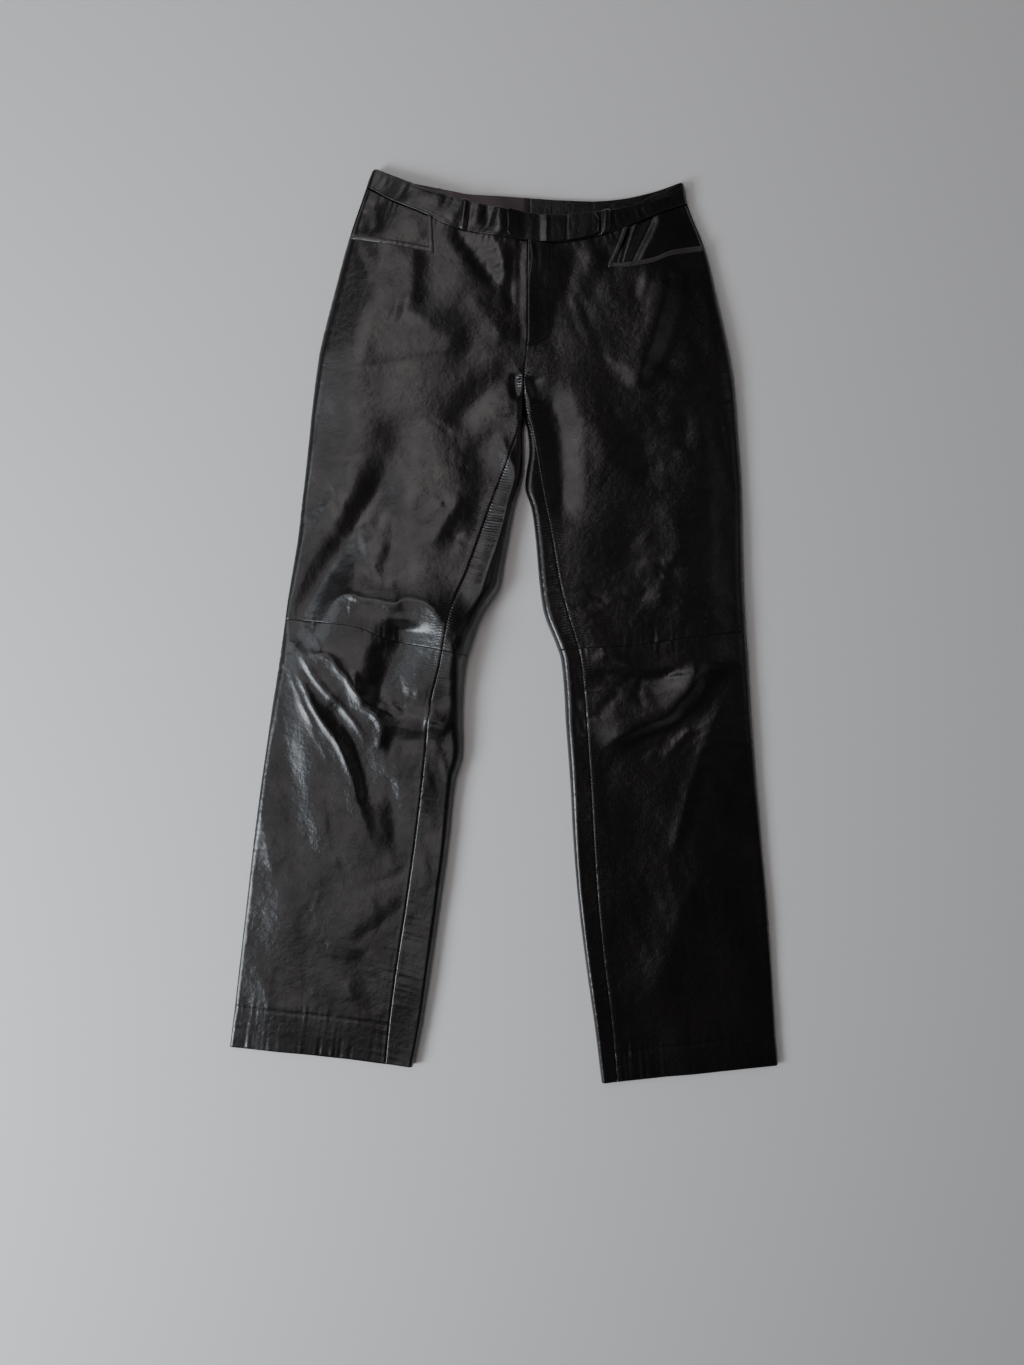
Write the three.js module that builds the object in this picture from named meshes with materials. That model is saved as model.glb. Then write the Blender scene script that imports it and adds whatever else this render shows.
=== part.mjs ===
// Straight leather trousers, laid flat on their back with the front up.
// Millimetres. X runs to the viewer's right, Y from the hems to the waist, Z up out of the front.
// The side called r is the wearer's right leg, which lies at negative X, and l is the left leg.
import * as THREE from 'three';

// Leather and seams
const wall = 1.6;
const bandWall = 2.6;
const trimWall = 1.4;
const seamGap = 0.3;
const waistGap = 0.6;
const trimLift = 0.5;
const tabLift = 0.7;

// Folded edges: the underside turns with a round, the upper side turns over and then swells slowly
const edgeRound = 4.5;
const turnLean = 1.25;
const swellWidth = 58;
const turnShare = 0.58;
const innerTurnShare = 0.84;
const leastLoft = 3;

// The thick inseam props the inner side of each leg up, and the leather falls from there to the middle
const seamProp = 2.6;
const seamPropReach = 17;
const seamPropLevel = 0.35;

// Crotch: the line where the legs part, and the height where the valley above it begins
const crotchY = 238;
const valleyY = 304;

// Waist
const bandLift = 2.1;
const bandLiftRun = 34;
const hemDrop = 3;
const loopWidth = 10;
const loopWall = 1.8;
const loopArch = 1.2;
const tabWall = 2.2;
const tabEnds = { left: 4, right: 109.6 };
const tabCorner = 3;

const leatherColours = { panel: 0x1b1819, band: 0x181616, facing: 0x141213, trim: 0x211d1e };

// Plan of each leg: outer fold, inner fold, the seam on the front side, and the loft at both folds.
// Above the crotch the inner fold and the seam are both the centre line.
const legRows = {
  r: [
    { y: 528, outer: -152, inner: 27.4, seam: 27.4, outLoft: 14, inLoft: 19 },
    { y: 503, outer: -159.5, inner: 27.4, seam: 27.4, outLoft: 14, inLoft: 20 },
    { y: 448, outer: -178, inner: 27.4, seam: 27.4, outLoft: 18, inLoft: 20 },
    { y: 374, outer: -198, inner: 26.6, seam: 26.6, outLoft: 21, inLoft: 18 },
    { y: 320, outer: -211.5, inner: 26.4, seam: 26.4, outLoft: 21, inLoft: 18 },
    { y: 290, outer: -216.5, inner: 23.5, seam: 23.5, outLoft: 20, inLoft: 18 },
    { y: 262, outer: -220, inner: 22.5, seam: 22.5, outLoft: 19, inLoft: 17 },
    { y: 238, outer: -222.8, inner: 23.5, seam: 21.2, outLoft: 18, inLoft: 16 },
    { y: 222, outer: -224.2, inner: 22, seam: 16.6, outLoft: 18, inLoft: 16 },
    { y: 198, outer: -226.8, inner: 22.6, seam: 8, outLoft: 18, inLoft: 16 },
    { y: 172, outer: -229.6, inner: 20.9, seam: -2, outLoft: 18, inLoft: 16 },
    { y: 139, outer: -233.4, inner: 11.9, seam: -14.6, outLoft: 18, inLoft: 17 },
    { y: 98, outer: -238.2, inner: 4.2, seam: -29, outLoft: 18, inLoft: 19 },
    { y: 60, outer: -244.5, inner: -2.6, seam: -42.5, outLoft: 18, inLoft: 24 },
    { y: 42, outer: -247.5, inner: -6, seam: -50.4, outLoft: 18, inLoft: 27 },
    { y: 24, outer: -250.4, inner: -17, seam: -57.3, outLoft: 18, inLoft: 29 },
    { y: 5, outer: -252.9, inner: -28, seam: -63.3, outLoft: 18, inLoft: 30 },
    { y: -22, outer: -256.5, inner: -37.6, seam: -68.6, outLoft: 18, inLoft: 30 },
    { y: -49, outer: -260.3, inner: -45.3, seam: -73.6, outLoft: 18, inLoft: 28 },
    { y: -99, outer: -268.2, inner: -48.5, seam: -85.6, outLoft: 17, inLoft: 24 },
    { y: -152, outer: -275.9, inner: -48.6, seam: -90.6, outLoft: 16, inLoft: 20 },
    { y: -180, outer: -280, inner: -56.6, seam: -93.4, outLoft: 15, inLoft: 17 },
    { y: -250, outer: -289, inner: -64.4, seam: -102.3, outLoft: 14, inLoft: 15 },
    { y: -320, outer: -297, inner: -74, seam: -112, outLoft: 13, inLoft: 14 },
    { y: -389, outer: -305, inner: -84, seam: -122.7, outLoft: 12, inLoft: 13 },
    { y: -459, outer: -313, inner: -94.6, seam: -132, outLoft: 11, inLoft: 12 },
    { y: -520, outer: -320, inner: -107, seam: -137.6, outLoft: 10, inLoft: 11 },
  ],
  l: [
    { y: 528, outer: 203, inner: 27.4, seam: 27.4, outLoft: 14, inLoft: 19 },
    { y: 512, outer: 207.8, inner: 27.4, seam: 27.4, outLoft: 14, inLoft: 19 },
    { y: 484, outer: 212.4, inner: 27.4, seam: 27.4, outLoft: 14, inLoft: 20 },
    { y: 434, outer: 232, inner: 27.4, seam: 27.4, outLoft: 15, inLoft: 20 },
    { y: 374, outer: 246.8, inner: 26.6, seam: 26.6, outLoft: 17, inLoft: 19 },
    { y: 320, outer: 258.8, inner: 26.4, seam: 26.4, outLoft: 18, inLoft: 18 },
    { y: 290, outer: 264, inner: 23.5, seam: 23.5, outLoft: 18, inLoft: 18 },
    { y: 262, outer: 267.2, inner: 22.5, seam: 22.5, outLoft: 17, inLoft: 17 },
    { y: 238, outer: 269, inner: 23.8, seam: 26.6, outLoft: 17, inLoft: 16 },
    { y: 222, outer: 270, inner: 27.4, seam: 32, outLoft: 17, inLoft: 15 },
    { y: 198, outer: 271.8, inner: 29, seam: 37.4, outLoft: 17, inLoft: 15 },
    { y: 172, outer: 273.6, inner: 25.6, seam: 41.6, outLoft: 17, inLoft: 15 },
    { y: 156, outer: 274.3, inner: 24.6, seam: 44.6, outLoft: 17, inLoft: 15 },
    { y: 134, outer: 274.8, inner: 31.6, seam: 48.8, outLoft: 18, inLoft: 15 },
    { y: 98, outer: 275.4, inner: 36.4, seam: 55.6, outLoft: 19, inLoft: 15 },
    { y: 44, outer: 276.7, inner: 41.2, seam: 65.2, outLoft: 20, inLoft: 16 },
    { y: 10, outer: 278.5, inner: 46.8, seam: 74, outLoft: 20, inLoft: 17 },
    { y: -24, outer: 280.6, inner: 60.2, seam: 84.6, outLoft: 20, inLoft: 17 },
    { y: -41, outer: 281.8, inner: 65.6, seam: 88.4, outLoft: 20, inLoft: 17 },
    { y: -76, outer: 283.8, inner: 69.3, seam: 92.4, outLoft: 19, inLoft: 16 },
    { y: -111, outer: 286, inner: 71.1, seam: 95.2, outLoft: 18, inLoft: 15 },
    { y: -180, outer: 291, inner: 76.2, seam: 100, outLoft: 16, inLoft: 14 },
    { y: -250, outer: 297, inner: 80, seam: 104, outLoft: 14, inLoft: 13 },
    { y: -320, outer: 303.4, inner: 85.8, seam: 108.8, outLoft: 13, inLoft: 12 },
    { y: -389, outer: 308.2, inner: 94, seam: 115.9, outLoft: 12, inLoft: 12 },
    { y: -459, outer: 312.4, inner: 104, seam: 124.6, outLoft: 11, inLoft: 11 },
    { y: -535, outer: 317.6, inner: 113.4, seam: 131.4, outLoft: 10, inLoft: 10 },
  ],
};

// Heights in Y of the lines that cross both legs, from side to side
const waistRows = [
  { x: -170, frontTop: 532, frontSeam: 509, backTop: 532, backSeam: 509 },
  { x: -155, frontTop: 527, frontSeam: 502.5, backTop: 527, backSeam: 502.5 },
  { x: -120, frontTop: 513, frontSeam: 484.5, backTop: 514, backSeam: 484.5 },
  { x: -84, frontTop: 498, frontSeam: 469, backTop: 506.5, backSeam: 475 },
  { x: -58, frontTop: 489.5, frontSeam: 456, backTop: 501.5, backSeam: 470 },
  { x: -40, frontTop: 484, frontSeam: 449.5, backTop: 498, backSeam: 466 },
  { x: 4, frontTop: 473.5, frontSeam: 440.5, backTop: 495, backSeam: 463 },
  { x: 27.4, frontTop: 469, frontSeam: 437, backTop: 493.5, backSeam: 461.5 },
  { x: 46, frontTop: 466.5, frontSeam: 434.5, backTop: 492, backSeam: 460 },
  { x: 71, frontTop: 467, frontSeam: 436, backTop: 490.5, backSeam: 458.5 },
  { x: 107, frontTop: 471.5, frontSeam: 444, backTop: 489.5, backSeam: 458 },
  { x: 140, frontTop: 478.5, frontSeam: 457, backTop: 492.5, backSeam: 461 },
  { x: 162, frontTop: 487, frontSeam: 465.5, backTop: 497, backSeam: 466 },
  { x: 185, frontTop: 498, frontSeam: 475, backTop: 503, backSeam: 475 },
  { x: 209, frontTop: 512, frontSeam: 483.5, backTop: 512, backSeam: 483.5 },
  { x: 222, frontTop: 519, frontSeam: 487, backTop: 519, backSeam: 487 },
];
const crossRows = {
  r: [
    { x: -325, hem: -487 },
    { x: -258, pocket: 462, crotch: 282, knee: 6, hem: -493 },
    { x: -213, pocket: 454, crotch: 277, knee: 2 },
    { x: -166, pocket: 446, crotch: 269, knee: -5.5, hem: -502.5 },
    { x: -130, pocket: 439, crotch: 262, knee: -19 },
    { x: -83, pocket: 430.8, crotch: 253, knee: -28 },
    { x: -40, pocket: 420, crotch: 246, knee: -37 },
    { x: 28, pocket: 405, crotch: 238, knee: -44, hem: -527 },
  ],
  l: [
    { x: 22, pocket: 404, crotch: 238, knee: -34, hem: -537 },
    { x: 63, pocket: 409, crotch: 244, knee: -30 },
    { x: 122, pocket: 413.7, crotch: 252, knee: -26.5 },
    { x: 138, pocket: 413.7, crotch: 254, knee: -26 },
    { x: 167, pocket: 419, crotch: 257, knee: -23 },
    { x: 190, pocket: 428, crotch: 260, knee: -19.5 },
    { x: 232, pocket: 435.4, crotch: 263, knee: -14 },
    { x: 280, pocket: 442, crotch: 266, knee: -9 },
    { x: 320, hem: -508.6 },
  ],
};

// Large folds, each a soft ridge, or a trough where high is negative, between two places.
// Bow pushes its middle sideways, to the left of its run.
const foldRows = {
  r: [
    { x0: -82, y0: 430, x1: -103, y1: 318, bow: 0, width: 12, high: -4 },
    { x0: -122, y0: 354, x1: 14, y1: 312, bow: -9, width: 13, high: 4 },
    { x0: -56, y0: 456, x1: 20, y1: 316, bow: 5, width: 8, high: -5 },
    { x0: -34, y0: 446, x1: 2, y1: 396, bow: 0, width: 14, high: 4 },
    { x0: 6, y0: 442, x1: 24, y1: 384, bow: 0, width: 8, high: -5 },
    { x0: 14, y0: 292, x1: -66, y1: 204, bow: -10, width: 10, high: -6 },
    { x0: 2, y0: 250, x1: -42, y1: 200, bow: 0, width: 11, high: 3 },
    { x0: -116, y0: 217, x1: -242, y1: 22, bow: 4, width: 13, high: -7 },
    { x0: -146, y0: 226, x1: -240, y1: 84, bow: 3, width: 12, high: 3.5 },
    { x0: -130, y0: 138, x1: -141, y1: 50, bow: 0, width: 9, high: -3 },
    { x0: -36, y0: 224, x1: -31, y1: 100, bow: 4, width: 8, high: -4 },
    { x0: -66, y0: 134, x1: -91, y1: 74, bow: 0, width: 12, high: 3 },
    { x0: -200, y0: 52, x1: -72, y1: 54, bow: 0, width: 12, high: -5 },
    { x0: -214, y0: 18, x1: -88, y1: 22, bow: 10, width: 11, high: 9 },
    { x0: -100, y0: 26, x1: -68, y1: -24, bow: 8, width: 10, high: 6 },
    { x0: -176, y0: -34, x1: -118, y1: -92, bow: -4, width: 16, high: -9 },
    { x0: -92, y0: -2, x1: -62, y1: -38, bow: 0, width: 9, high: 3 },
    { x0: -253, y0: -30, x1: -160, y1: -230, bow: 7, width: 9, high: 6 },
    { x0: -243, y0: -20, x1: -144, y1: -172, bow: 9, width: 8, high: 6 },
    { x0: -224, y0: -34, x1: -154, y1: -92, bow: 7, width: 8, high: 4 },
    { x0: -128, y0: -122, x1: -86, y1: -138, bow: 0, width: 8, high: -4 },
    { x0: -90, y0: -178, x1: -52, y1: -173, bow: 0, width: 7, high: -4 },
    { x0: -256, y0: -118, x1: -258, y1: -284, bow: 0, width: 8, high: -3 },
    { x0: -241, y0: -134, x1: -222, y1: -196, bow: 0, width: 9, high: 3 },
    { x0: -213, y0: -136, x1: -193, y1: -266, bow: 0, width: 9, high: -3 },
    { x0: -133, y0: -170, x1: -130, y1: -268, bow: 0, width: 8, high: -3 },
  ],
  l: [
    { x0: 84, y0: 434, x1: 62, y1: 374, bow: 0, width: 8, high: -3 },
    { x0: 104, y0: 416, x1: 92, y1: 374, bow: 0, width: 7, high: -2 },
    { x0: 190, y0: 430, x1: 248, y1: 250, bow: 0, width: 18, high: -4 },
    { x0: 152, y0: 408, x1: 204, y1: 260, bow: 0, width: 22, high: 4 },
    { x0: 70, y0: 248, x1: 94, y1: 148, bow: 22, width: 14, high: 3 },
    { x0: 212, y0: 48, x1: 232, y1: 96, bow: 0, width: 14, high: 2.5 },
    { x0: 150, y0: 122, x1: 184, y1: 98, bow: 0, width: 16, high: 2.5 },
    { x0: 54, y0: 45, x1: 132, y1: 37, bow: 0, width: 8, high: -3 },
    { x0: 100, y0: -36, x1: 242, y1: -36, bow: -16, width: 8, high: -5 },
    { x0: 220, y0: -58, x1: 120, y1: -112, bow: 6, width: 18, high: 7 },
    { x0: 110, y0: -138, x1: 228, y1: -62, bow: -14, width: 8, high: -5 },
    { x0: 180, y0: -118, x1: 220, y1: -138, bow: 0, width: 9, high: 3 },
    { x0: 256, y0: -80, x1: 148, y1: -392, bow: 0, width: 9, high: 5 },
    { x0: 186, y0: -320, x1: 227, y1: -436, bow: 0, width: 12, high: 2.5 },
  ],
};

// Pocket mouths: the cut runs in from the outseam, then up to the waist
const pockets = {
  r: { cornerX: -83.4, topX: -79.9 },
  l: { cornerX: 122.5, topX: 135.1 },
};
const pocketColumn = 8;
const pocketRowCount = 3;
const pocketEdgeWidth = 6;
const pocketCell = { across: 19, down: 21 };

// Belt loops on the front: middle at the foot and at the top of the band
const frontLoops = { r: { footX: -47.5, topX: -43 }, l: { footX: 115.6, topX: 116.6 } };
const backLoopXs = { belt_loop_back_r: -78, belt_loop_back_centre: 27.4, belt_loop_back_l: 134 };

// Fly placket on the left front
const fly = { width: 30, footY: 318, turnY: 346 };

// Shares of a panel's width where its grid lines run, closer at the folds
const frontShares = [
  0, 0.006, 0.022, 0.055, 0.12, 0.2, 0.28, 0.36, 0.44, 0.53, 0.62, 0.71, 0.8, 0.88, 0.94, 0.975, 1,
];
const roundSteps = 3;
const flatShares = [0.2, 0.5, 0.8, 1];
const stripShares = [0.08, 0.35, 1];
const rowCounts = { pocket: pocketRowCount, hip: 7, thigh: 12, shin: 22 };
const crotchRow = rowCounts.pocket + rowCounts.hip;
const thighRows = crotchRow + rowCounts.thigh;
const bandRows = 2;
const rowBunching = 0.45;
const probe = 0.004;

const lerp = THREE.MathUtils.lerp;
const clamp = THREE.MathUtils.clamp;
const smoothstep = THREE.MathUtils.smoothstep;

// Smooth curve through one column of a table: cubic pieces whose slopes are those of the neighbours
function tableCurve(rows, at, column) {
  const knots = rows.filter((row) => row[column] !== undefined)
    .map((row) => [row[at], row[column]])
    .sort((a, b) => a[0] - b[0]);
  const last = knots.length - 1;
  const slope = (i) => {
    const low = knots[Math.max(i - 1, 0)];
    const high = knots[Math.min(i + 1, last)];
    return (high[1] - low[1]) / (high[0] - low[0]);
  };
  return (place) => {
    if (place <= knots[0][0]) return knots[0][1] + (place - knots[0][0]) * slope(0);
    if (place >= knots[last][0]) return knots[last][1] + (place - knots[last][0]) * slope(last);
    let i = 0;
    while (knots[i + 1][0] < place) i += 1;
    const span = knots[i + 1][0] - knots[i][0];
    const t = (place - knots[i][0]) / span;
    const rise = knots[i + 1][1] - knots[i][1];
    const a = slope(i) * span - rise;
    const b = rise - slope(i + 1) * span;
    return knots[i][1] + t * rise + t * (1 - t) * (a * (1 - t) + b * t);
  };
}

const waist = {
  frontTop: tableCurve(waistRows, 'x', 'frontTop'),
  frontSeam: tableCurve(waistRows, 'x', 'frontSeam'),
  backTop: tableCurve(waistRows, 'x', 'backTop'),
  backSeam: tableCurve(waistRows, 'x', 'backSeam'),
};

function makeLeg(side) {
  const leg = { side, inward: side === 'r' ? 1 : -1, folds: foldRows[side], pocket: pockets[side] };
  for (const column of ['outer', 'inner', 'seam', 'outLoft', 'inLoft']) {
    leg[column] = tableCurve(legRows[side], 'y', column);
  }
  for (const column of ['pocket', 'crotch', 'knee', 'hem']) {
    leg[`${column}Line`] = tableCurve(crossRows[side], 'x', column);
  }
  return leg;
}
const legs = { r: makeLeg('r'), l: makeLeg('l') };

// Sum of the folds at a place: a bell across each fold, faded in over a quarter of its length
function foldHeight(leg, x, y) {
  let total = 0;
  for (const fold of leg.folds) {
    const runX = fold.x1 - fold.x0;
    const runY = fold.y1 - fold.y0;
    const length = Math.hypot(runX, runY);
    const along = ((x - fold.x0) * runX + (y - fold.y0) * runY) / (length * length);
    if (along <= 0 || along >= 1) continue;
    const bend = fold.bow * 4 * along * (1 - along);
    const across = ((y - fold.y0) * runX - (x - fold.x0) * runY) / length - bend;
    const fade = smoothstep(Math.min(along, 1 - along), 0, 0.25);
    total += fold.high * fade * Math.exp(-0.5 * (across / fold.width) ** 2);
  }
  return total;
}

// Rise from a folded edge: a quarter ellipse, then a slow swell, as a share of the loft
function edgeRise(distance, loft, share) {
  const turnWidth = turnLean * turnShare * (loft - edgeRound);
  const turn = clamp(1 - distance / turnWidth, 0, 1);
  return share * Math.sqrt(1 - turn * turn) + (1 - share) * smoothstep(distance, 0, swellWidth);
}

// How far the legs have parted: none above the valley, fully from just below the crotch
const parted = (y) => 1 - smoothstep(y, crotchY - 14, valleyY);

function topHeight(leg, x, y) {
  const fromOuter = Math.max((x - leg.outer(y)) * leg.inward, 0);
  const fromInner = Math.max((leg.inner(y) - x) * leg.inward, 0);
  const share = fromOuter / (fromOuter + fromInner);
  const prop = seamProp * parted(y) * (Math.exp(-fromInner / seamPropReach) - seamPropLevel);
  const evenLoft = lerp(leg.outLoft(y), leg.inLoft(y), share) - edgeRound;
  const loft = evenLoft + foldHeight(leg, x, y) + prop;
  const innerRise = 1 - parted(y) * (1 - edgeRise(fromInner, leg.inLoft(y), innerTurnShare));
  const rise = edgeRise(fromOuter, leg.outLoft(y), turnShare) * innerRise;
  return edgeRound + seamGap / 2 + Math.max(loft, leastLoft) * rise;
}

// The underside is flat on the floor and only lifts over the belt loops at the waist
function bottomHeight(x, y) {
  return bandLift * smoothstep(y, waist.backSeam(x) - bandLiftRun, waist.backSeam(x) - 4);
}

// Y of a grid row of a thigh panel at a given x
function thighRowY(leg, x, row) {
  if (row <= rowCounts.pocket) {
    return lerp(waist.frontSeam(x) - waistGap / 2, leg.pocketLine(x), row / rowCounts.pocket);
  }
  if (row <= crotchRow) {
    return lerp(leg.pocketLine(x), leg.crotchLine(x), (row - rowCounts.pocket) / rowCounts.hip);
  }
  const step = (row - crotchRow) / rowCounts.thigh;
  const share = lerp(step, Math.sin(step * Math.PI / 2), rowBunching);
  return lerp(leg.crotchLine(x), leg.kneeLine(x) + seamGap / 2, share);
}

function shinRowY(leg, x, row) {
  const step = row / rowCounts.shin;
  const share = lerp(step, 1 - Math.cos(step * Math.PI / 2), rowBunching);
  return lerp(leg.kneeLine(x) - seamGap / 2, leg.hemLine(x), share);
}

function bandRowY(x, row) {
  return lerp(waist.frontSeam(x) + waistGap / 2, waist.frontTop(x), row / bandRows);
}

const rowY = { thigh: thighRowY, shin: shinRowY, band: (leg, x, row) => bandRowY(x, row) };
const middleX = (leg) => (leg.outer(0) + leg.inner(0)) / 2;

// Where a row meets a border of the leg: the border's x depends on y and the row's y on x
function borderPoint(leg, part, row, border) {
  let x = middleX(leg);
  let y = rowY[part](leg, x, row);
  for (let turn = 0; turn < 6; turn += 1) {
    x = border(y);
    y = rowY[part](leg, x, row);
  }
  return { x, y };
}

// Grid lines lean at the top of the thigh, so that one of them follows the pocket's upright edge
function columnShare(leg, part, share, row, outerX, innerX) {
  if (part === 'shin') return share;
  const level = part === 'band' ? 0 : clamp(row / rowCounts.pocket, 0, 1);
  const pocketX = lerp(leg.pocket.topX, leg.pocket.cornerX, level);
  const wanted = (pocketX - outerX) / (innerX - outerX);
  const ease = part === 'band' ? 1 : 1 - smoothstep(row, rowCounts.pocket, crotchRow);
  const normal = frontShares[pocketColumn];
  const leaned = share < normal ? share * wanted / normal : 1 - (1 - share) * (1 - wanted) / (1 - normal);
  return lerp(share, leaned, ease);
}

const atShares = (shares, place) => {
  const i = clamp(Math.floor(place), 0, shares.length - 2);
  return lerp(shares[i], shares[i + 1], place - i);
};

// Front skin of a leg at a grid column and row, which may be fractions
function frontPoint(leg, part, column, row) {
  const outer = borderPoint(leg, part, row, leg.outer);
  const border = borderPoint(leg, part, row, (y) => leg.seam(y) - leg.inward * seamGap / 2);
  const share = columnShare(leg, part, atShares(frontShares, column), row, outer.x, border.x);
  const y = rowY[part](leg, lerp(outer.x, border.x, share), row);
  const outerX = leg.outer(y);
  const x = lerp(outerX, leg.seam(y) - leg.inward * seamGap / 2, share);
  return new THREE.Vector3(x, y, topHeight(leg, x, y));
}

// Back skin of a leg: round the outer fold, flat underneath, round the inner fold, then over to the seam
const flatEnd = roundSteps + flatShares.length;
const roundEnd = flatEnd + roundSteps;
const backColumns = roundEnd + stripShares.length;

function backRowY(leg, part, x, row) {
  const y = rowY[part](leg, x, row);
  if (part === 'shin') return y;
  if (part === 'band') {
    return lerp(waist.backSeam(x) + waistGap / 2, waist.backTop(x), row / bandRows);
  }
  return y + (waist.backSeam(x) - waist.frontSeam(x)) * Math.max(0, 1 - row / crotchRow);
}

function backPoint(leg, part, column, row) {
  const hasStrip = part === 'shin' || (part === 'thigh' && row > crotchRow - 0.5);
  const edge = edgeRound - seamGap / 2;
  if (column <= flatEnd || !hasStrip) {
    const outer = borderPoint(leg, part, row, leg.outer);
    const inner = borderPoint(leg, part, row, leg.inner);
    const flatPlace = clamp(column - roundSteps, 0, flatShares.length);
    const flatShare = atShares([0, ...flatShares], flatPlace);
    const y = backRowY(leg, part, lerp(outer.x, inner.x, flatShare), row);
    const outerX = leg.outer(y);
    const low = bottomHeight(lerp(outerX, leg.inner(y), flatShare), y);
    if (column <= roundSteps) {
      const angle = column / roundSteps * Math.PI / 2;
      const x = outerX + leg.inward * edgeRound * (1 - Math.cos(angle));
      return new THREE.Vector3(x, y, edge - (edge - low) * Math.sin(angle));
    }
    const inset = hasStrip ? edgeRound : seamGap / 2;
    const x = lerp(outerX + leg.inward * edgeRound, leg.inner(y) - leg.inward * inset, flatShare);
    const drop = part === 'shin' ? hemDrop * Math.sin(Math.PI * flatShare) * (row / rowCounts.shin) ** 2 : 0;
    return new THREE.Vector3(x, y - drop, low);
  }
  if (column <= roundEnd) {
    const { y } = borderPoint(leg, part, row, leg.inner);
    const angle = (roundEnd - column) / roundSteps * Math.PI / 2;
    const x = leg.inner(y) - leg.inward * edgeRound * (1 - Math.cos(angle));
    return new THREE.Vector3(x, y, edge - edge * Math.sin(angle));
  }
  const inner = borderPoint(leg, part, row, leg.inner);
  const border = borderPoint(leg, part, row, (y) => leg.seam(y) + leg.inward * seamGap / 2);
  const share = atShares([0, ...stripShares], column - roundEnd);
  const y = rowY[part](leg, lerp(inner.x, border.x, share), row);
  const x = lerp(leg.inner(y), leg.seam(y) + leg.inward * seamGap / 2, share);
  return new THREE.Vector3(x, y, topHeight(leg, x, y));
}

// A sheet is a grid of skin points with their outward directions, taken from the smooth surface
function makeSheet(columns, rows, pointAt, outward) {
  const sheet = { columns, rows, points: [], normals: [] };
  for (let row = 0; row <= rows; row += 1) {
    for (let column = 0; column <= columns; column += 1) {
      const east = pointAt(Math.min(column + probe, columns), row);
      const west = pointAt(Math.max(column - probe, 0), row);
      const south = pointAt(column, Math.min(row + probe, rows));
      const north = pointAt(column, Math.max(row - probe, 0));
      const normal = east.sub(west).cross(south.sub(north)).normalize().multiplyScalar(outward);
      sheet.points.push(pointAt(column, row));
      sheet.normals.push(normal);
    }
  }
  return sheet;
}

// Point of a sheet's facets at fractions of the grid, with the direction out of it
function onSheet(sheet, column, row) {
  const i = clamp(Math.floor(column), 0, sheet.columns - 1);
  const j = clamp(Math.floor(row), 0, sheet.rows - 1);
  const u = column - i;
  const v = row - j;
  const at = (di, dj) => (j + dj) * (sheet.columns + 1) + i + di;
  const weights = u > v
    ? [[at(0, 0), 1 - u], [at(1, 0), u - v], [at(1, 1), v]]
    : [[at(0, 0), 1 - v], [at(0, 1), v - u], [at(1, 1), u]];
  const point = new THREE.Vector3();
  const normal = new THREE.Vector3();
  for (const [index, weight] of weights) {
    point.addScaledVector(sheet.points[index], weight);
    normal.addScaledVector(sheet.normals[index], weight);
  }
  return { point, normal: normal.normalize() };
}

// Closed wall between the sheet raised by lift and the sheet lowered from there by its thickness
function wallGeometry(sheet, thickness, lift = 0, keep = () => true) {
  const { columns, rows, points, normals } = sheet;
  const positions = [];
  const layer = points.length;
  for (const level of [lift, lift - thickness]) {
    points.forEach((point, k) => positions.push(...point.clone().addScaledVector(normals[k], level)));
  }
  const faces = [];
  const node = (column, row, inside) => inside * layer + row * (columns + 1) + column;
  const inGrid = (column, row) => column >= 0 && column < columns && row >= 0 && row < rows;
  const kept = (column, row) => inGrid(column, row) && keep(column, row);
  const quad = (a, b, c, d) => faces.push(a, b, c, a, c, d);
  for (let row = 0; row < rows; row += 1) {
    for (let column = 0; column < columns; column += 1) {
      if (!kept(column, row)) continue;
      const corners = [[column, row], [column, row + 1], [column + 1, row + 1], [column + 1, row]];
      quad(...corners.map(([i, j]) => node(i, j, 0)));
      const [a, b, c, d] = corners.map(([i, j]) => node(i, j, 1));
      quad(a, d, c, b);
      const beyond = [[column - 1, row], [column, row + 1], [column + 1, row], [column, row - 1]];
      beyond.forEach(([i, j], k) => {
        if (kept(i, j)) return;
        const from = corners[k];
        const to = corners[(k + 1) % 4];
        quad(node(...to, 0), node(...from, 0), node(...from, 1), node(...to, 1));
      });
    }
  }
  const geometry = new THREE.BufferGeometry();
  geometry.setAttribute('position', new THREE.Float32BufferAttribute(positions, 3));
  geometry.setIndex(faces);
  return turnedOut(geometry);
}

// Signed volume tells whether the faces point in, and then they are turned round
function turnedOut(geometry) {
  const position = geometry.getAttribute('position');
  const index = geometry.getIndex();
  const corner = (k) => new THREE.Vector3().fromBufferAttribute(position, index.getX(k));
  let volume = 0;
  for (let k = 0; k < index.count; k += 3) volume += corner(k).dot(corner(k + 1).cross(corner(k + 2)));
  if (volume < 0) index.array.reverse();
  const used = [...new Set(index.array)];
  const places = new Map(used.map((old, k) => [old, k]));
  const compact = new THREE.BufferGeometry();
  const kept = used.flatMap((old) => [position.getX(old), position.getY(old), position.getZ(old)]);
  compact.setAttribute('position', new THREE.Float32BufferAttribute(kept, 3));
  compact.setIndex([...index.array].map((old) => places.get(old)));
  compact.computeVertexNormals();
  return compact;
}

// A trim piece copies the facets under it: cells gives the grid place of each of its corners
function trimSheet(columns, rows, placeAt) {
  const sheet = { columns, rows, points: [], normals: [] };
  for (let row = 0; row <= rows; row += 1) {
    for (let column = 0; column <= columns; column += 1) {
      const place = placeAt(column, row);
      const { point, normal } = onSheet(place.sheet, place.column, place.row);
      sheet.points.push(point.addScaledVector(normal, place.lift ?? 0));
      sheet.normals.push(normal);
    }
  }
  return sheet;
}

const trousers = new THREE.Group();

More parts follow.
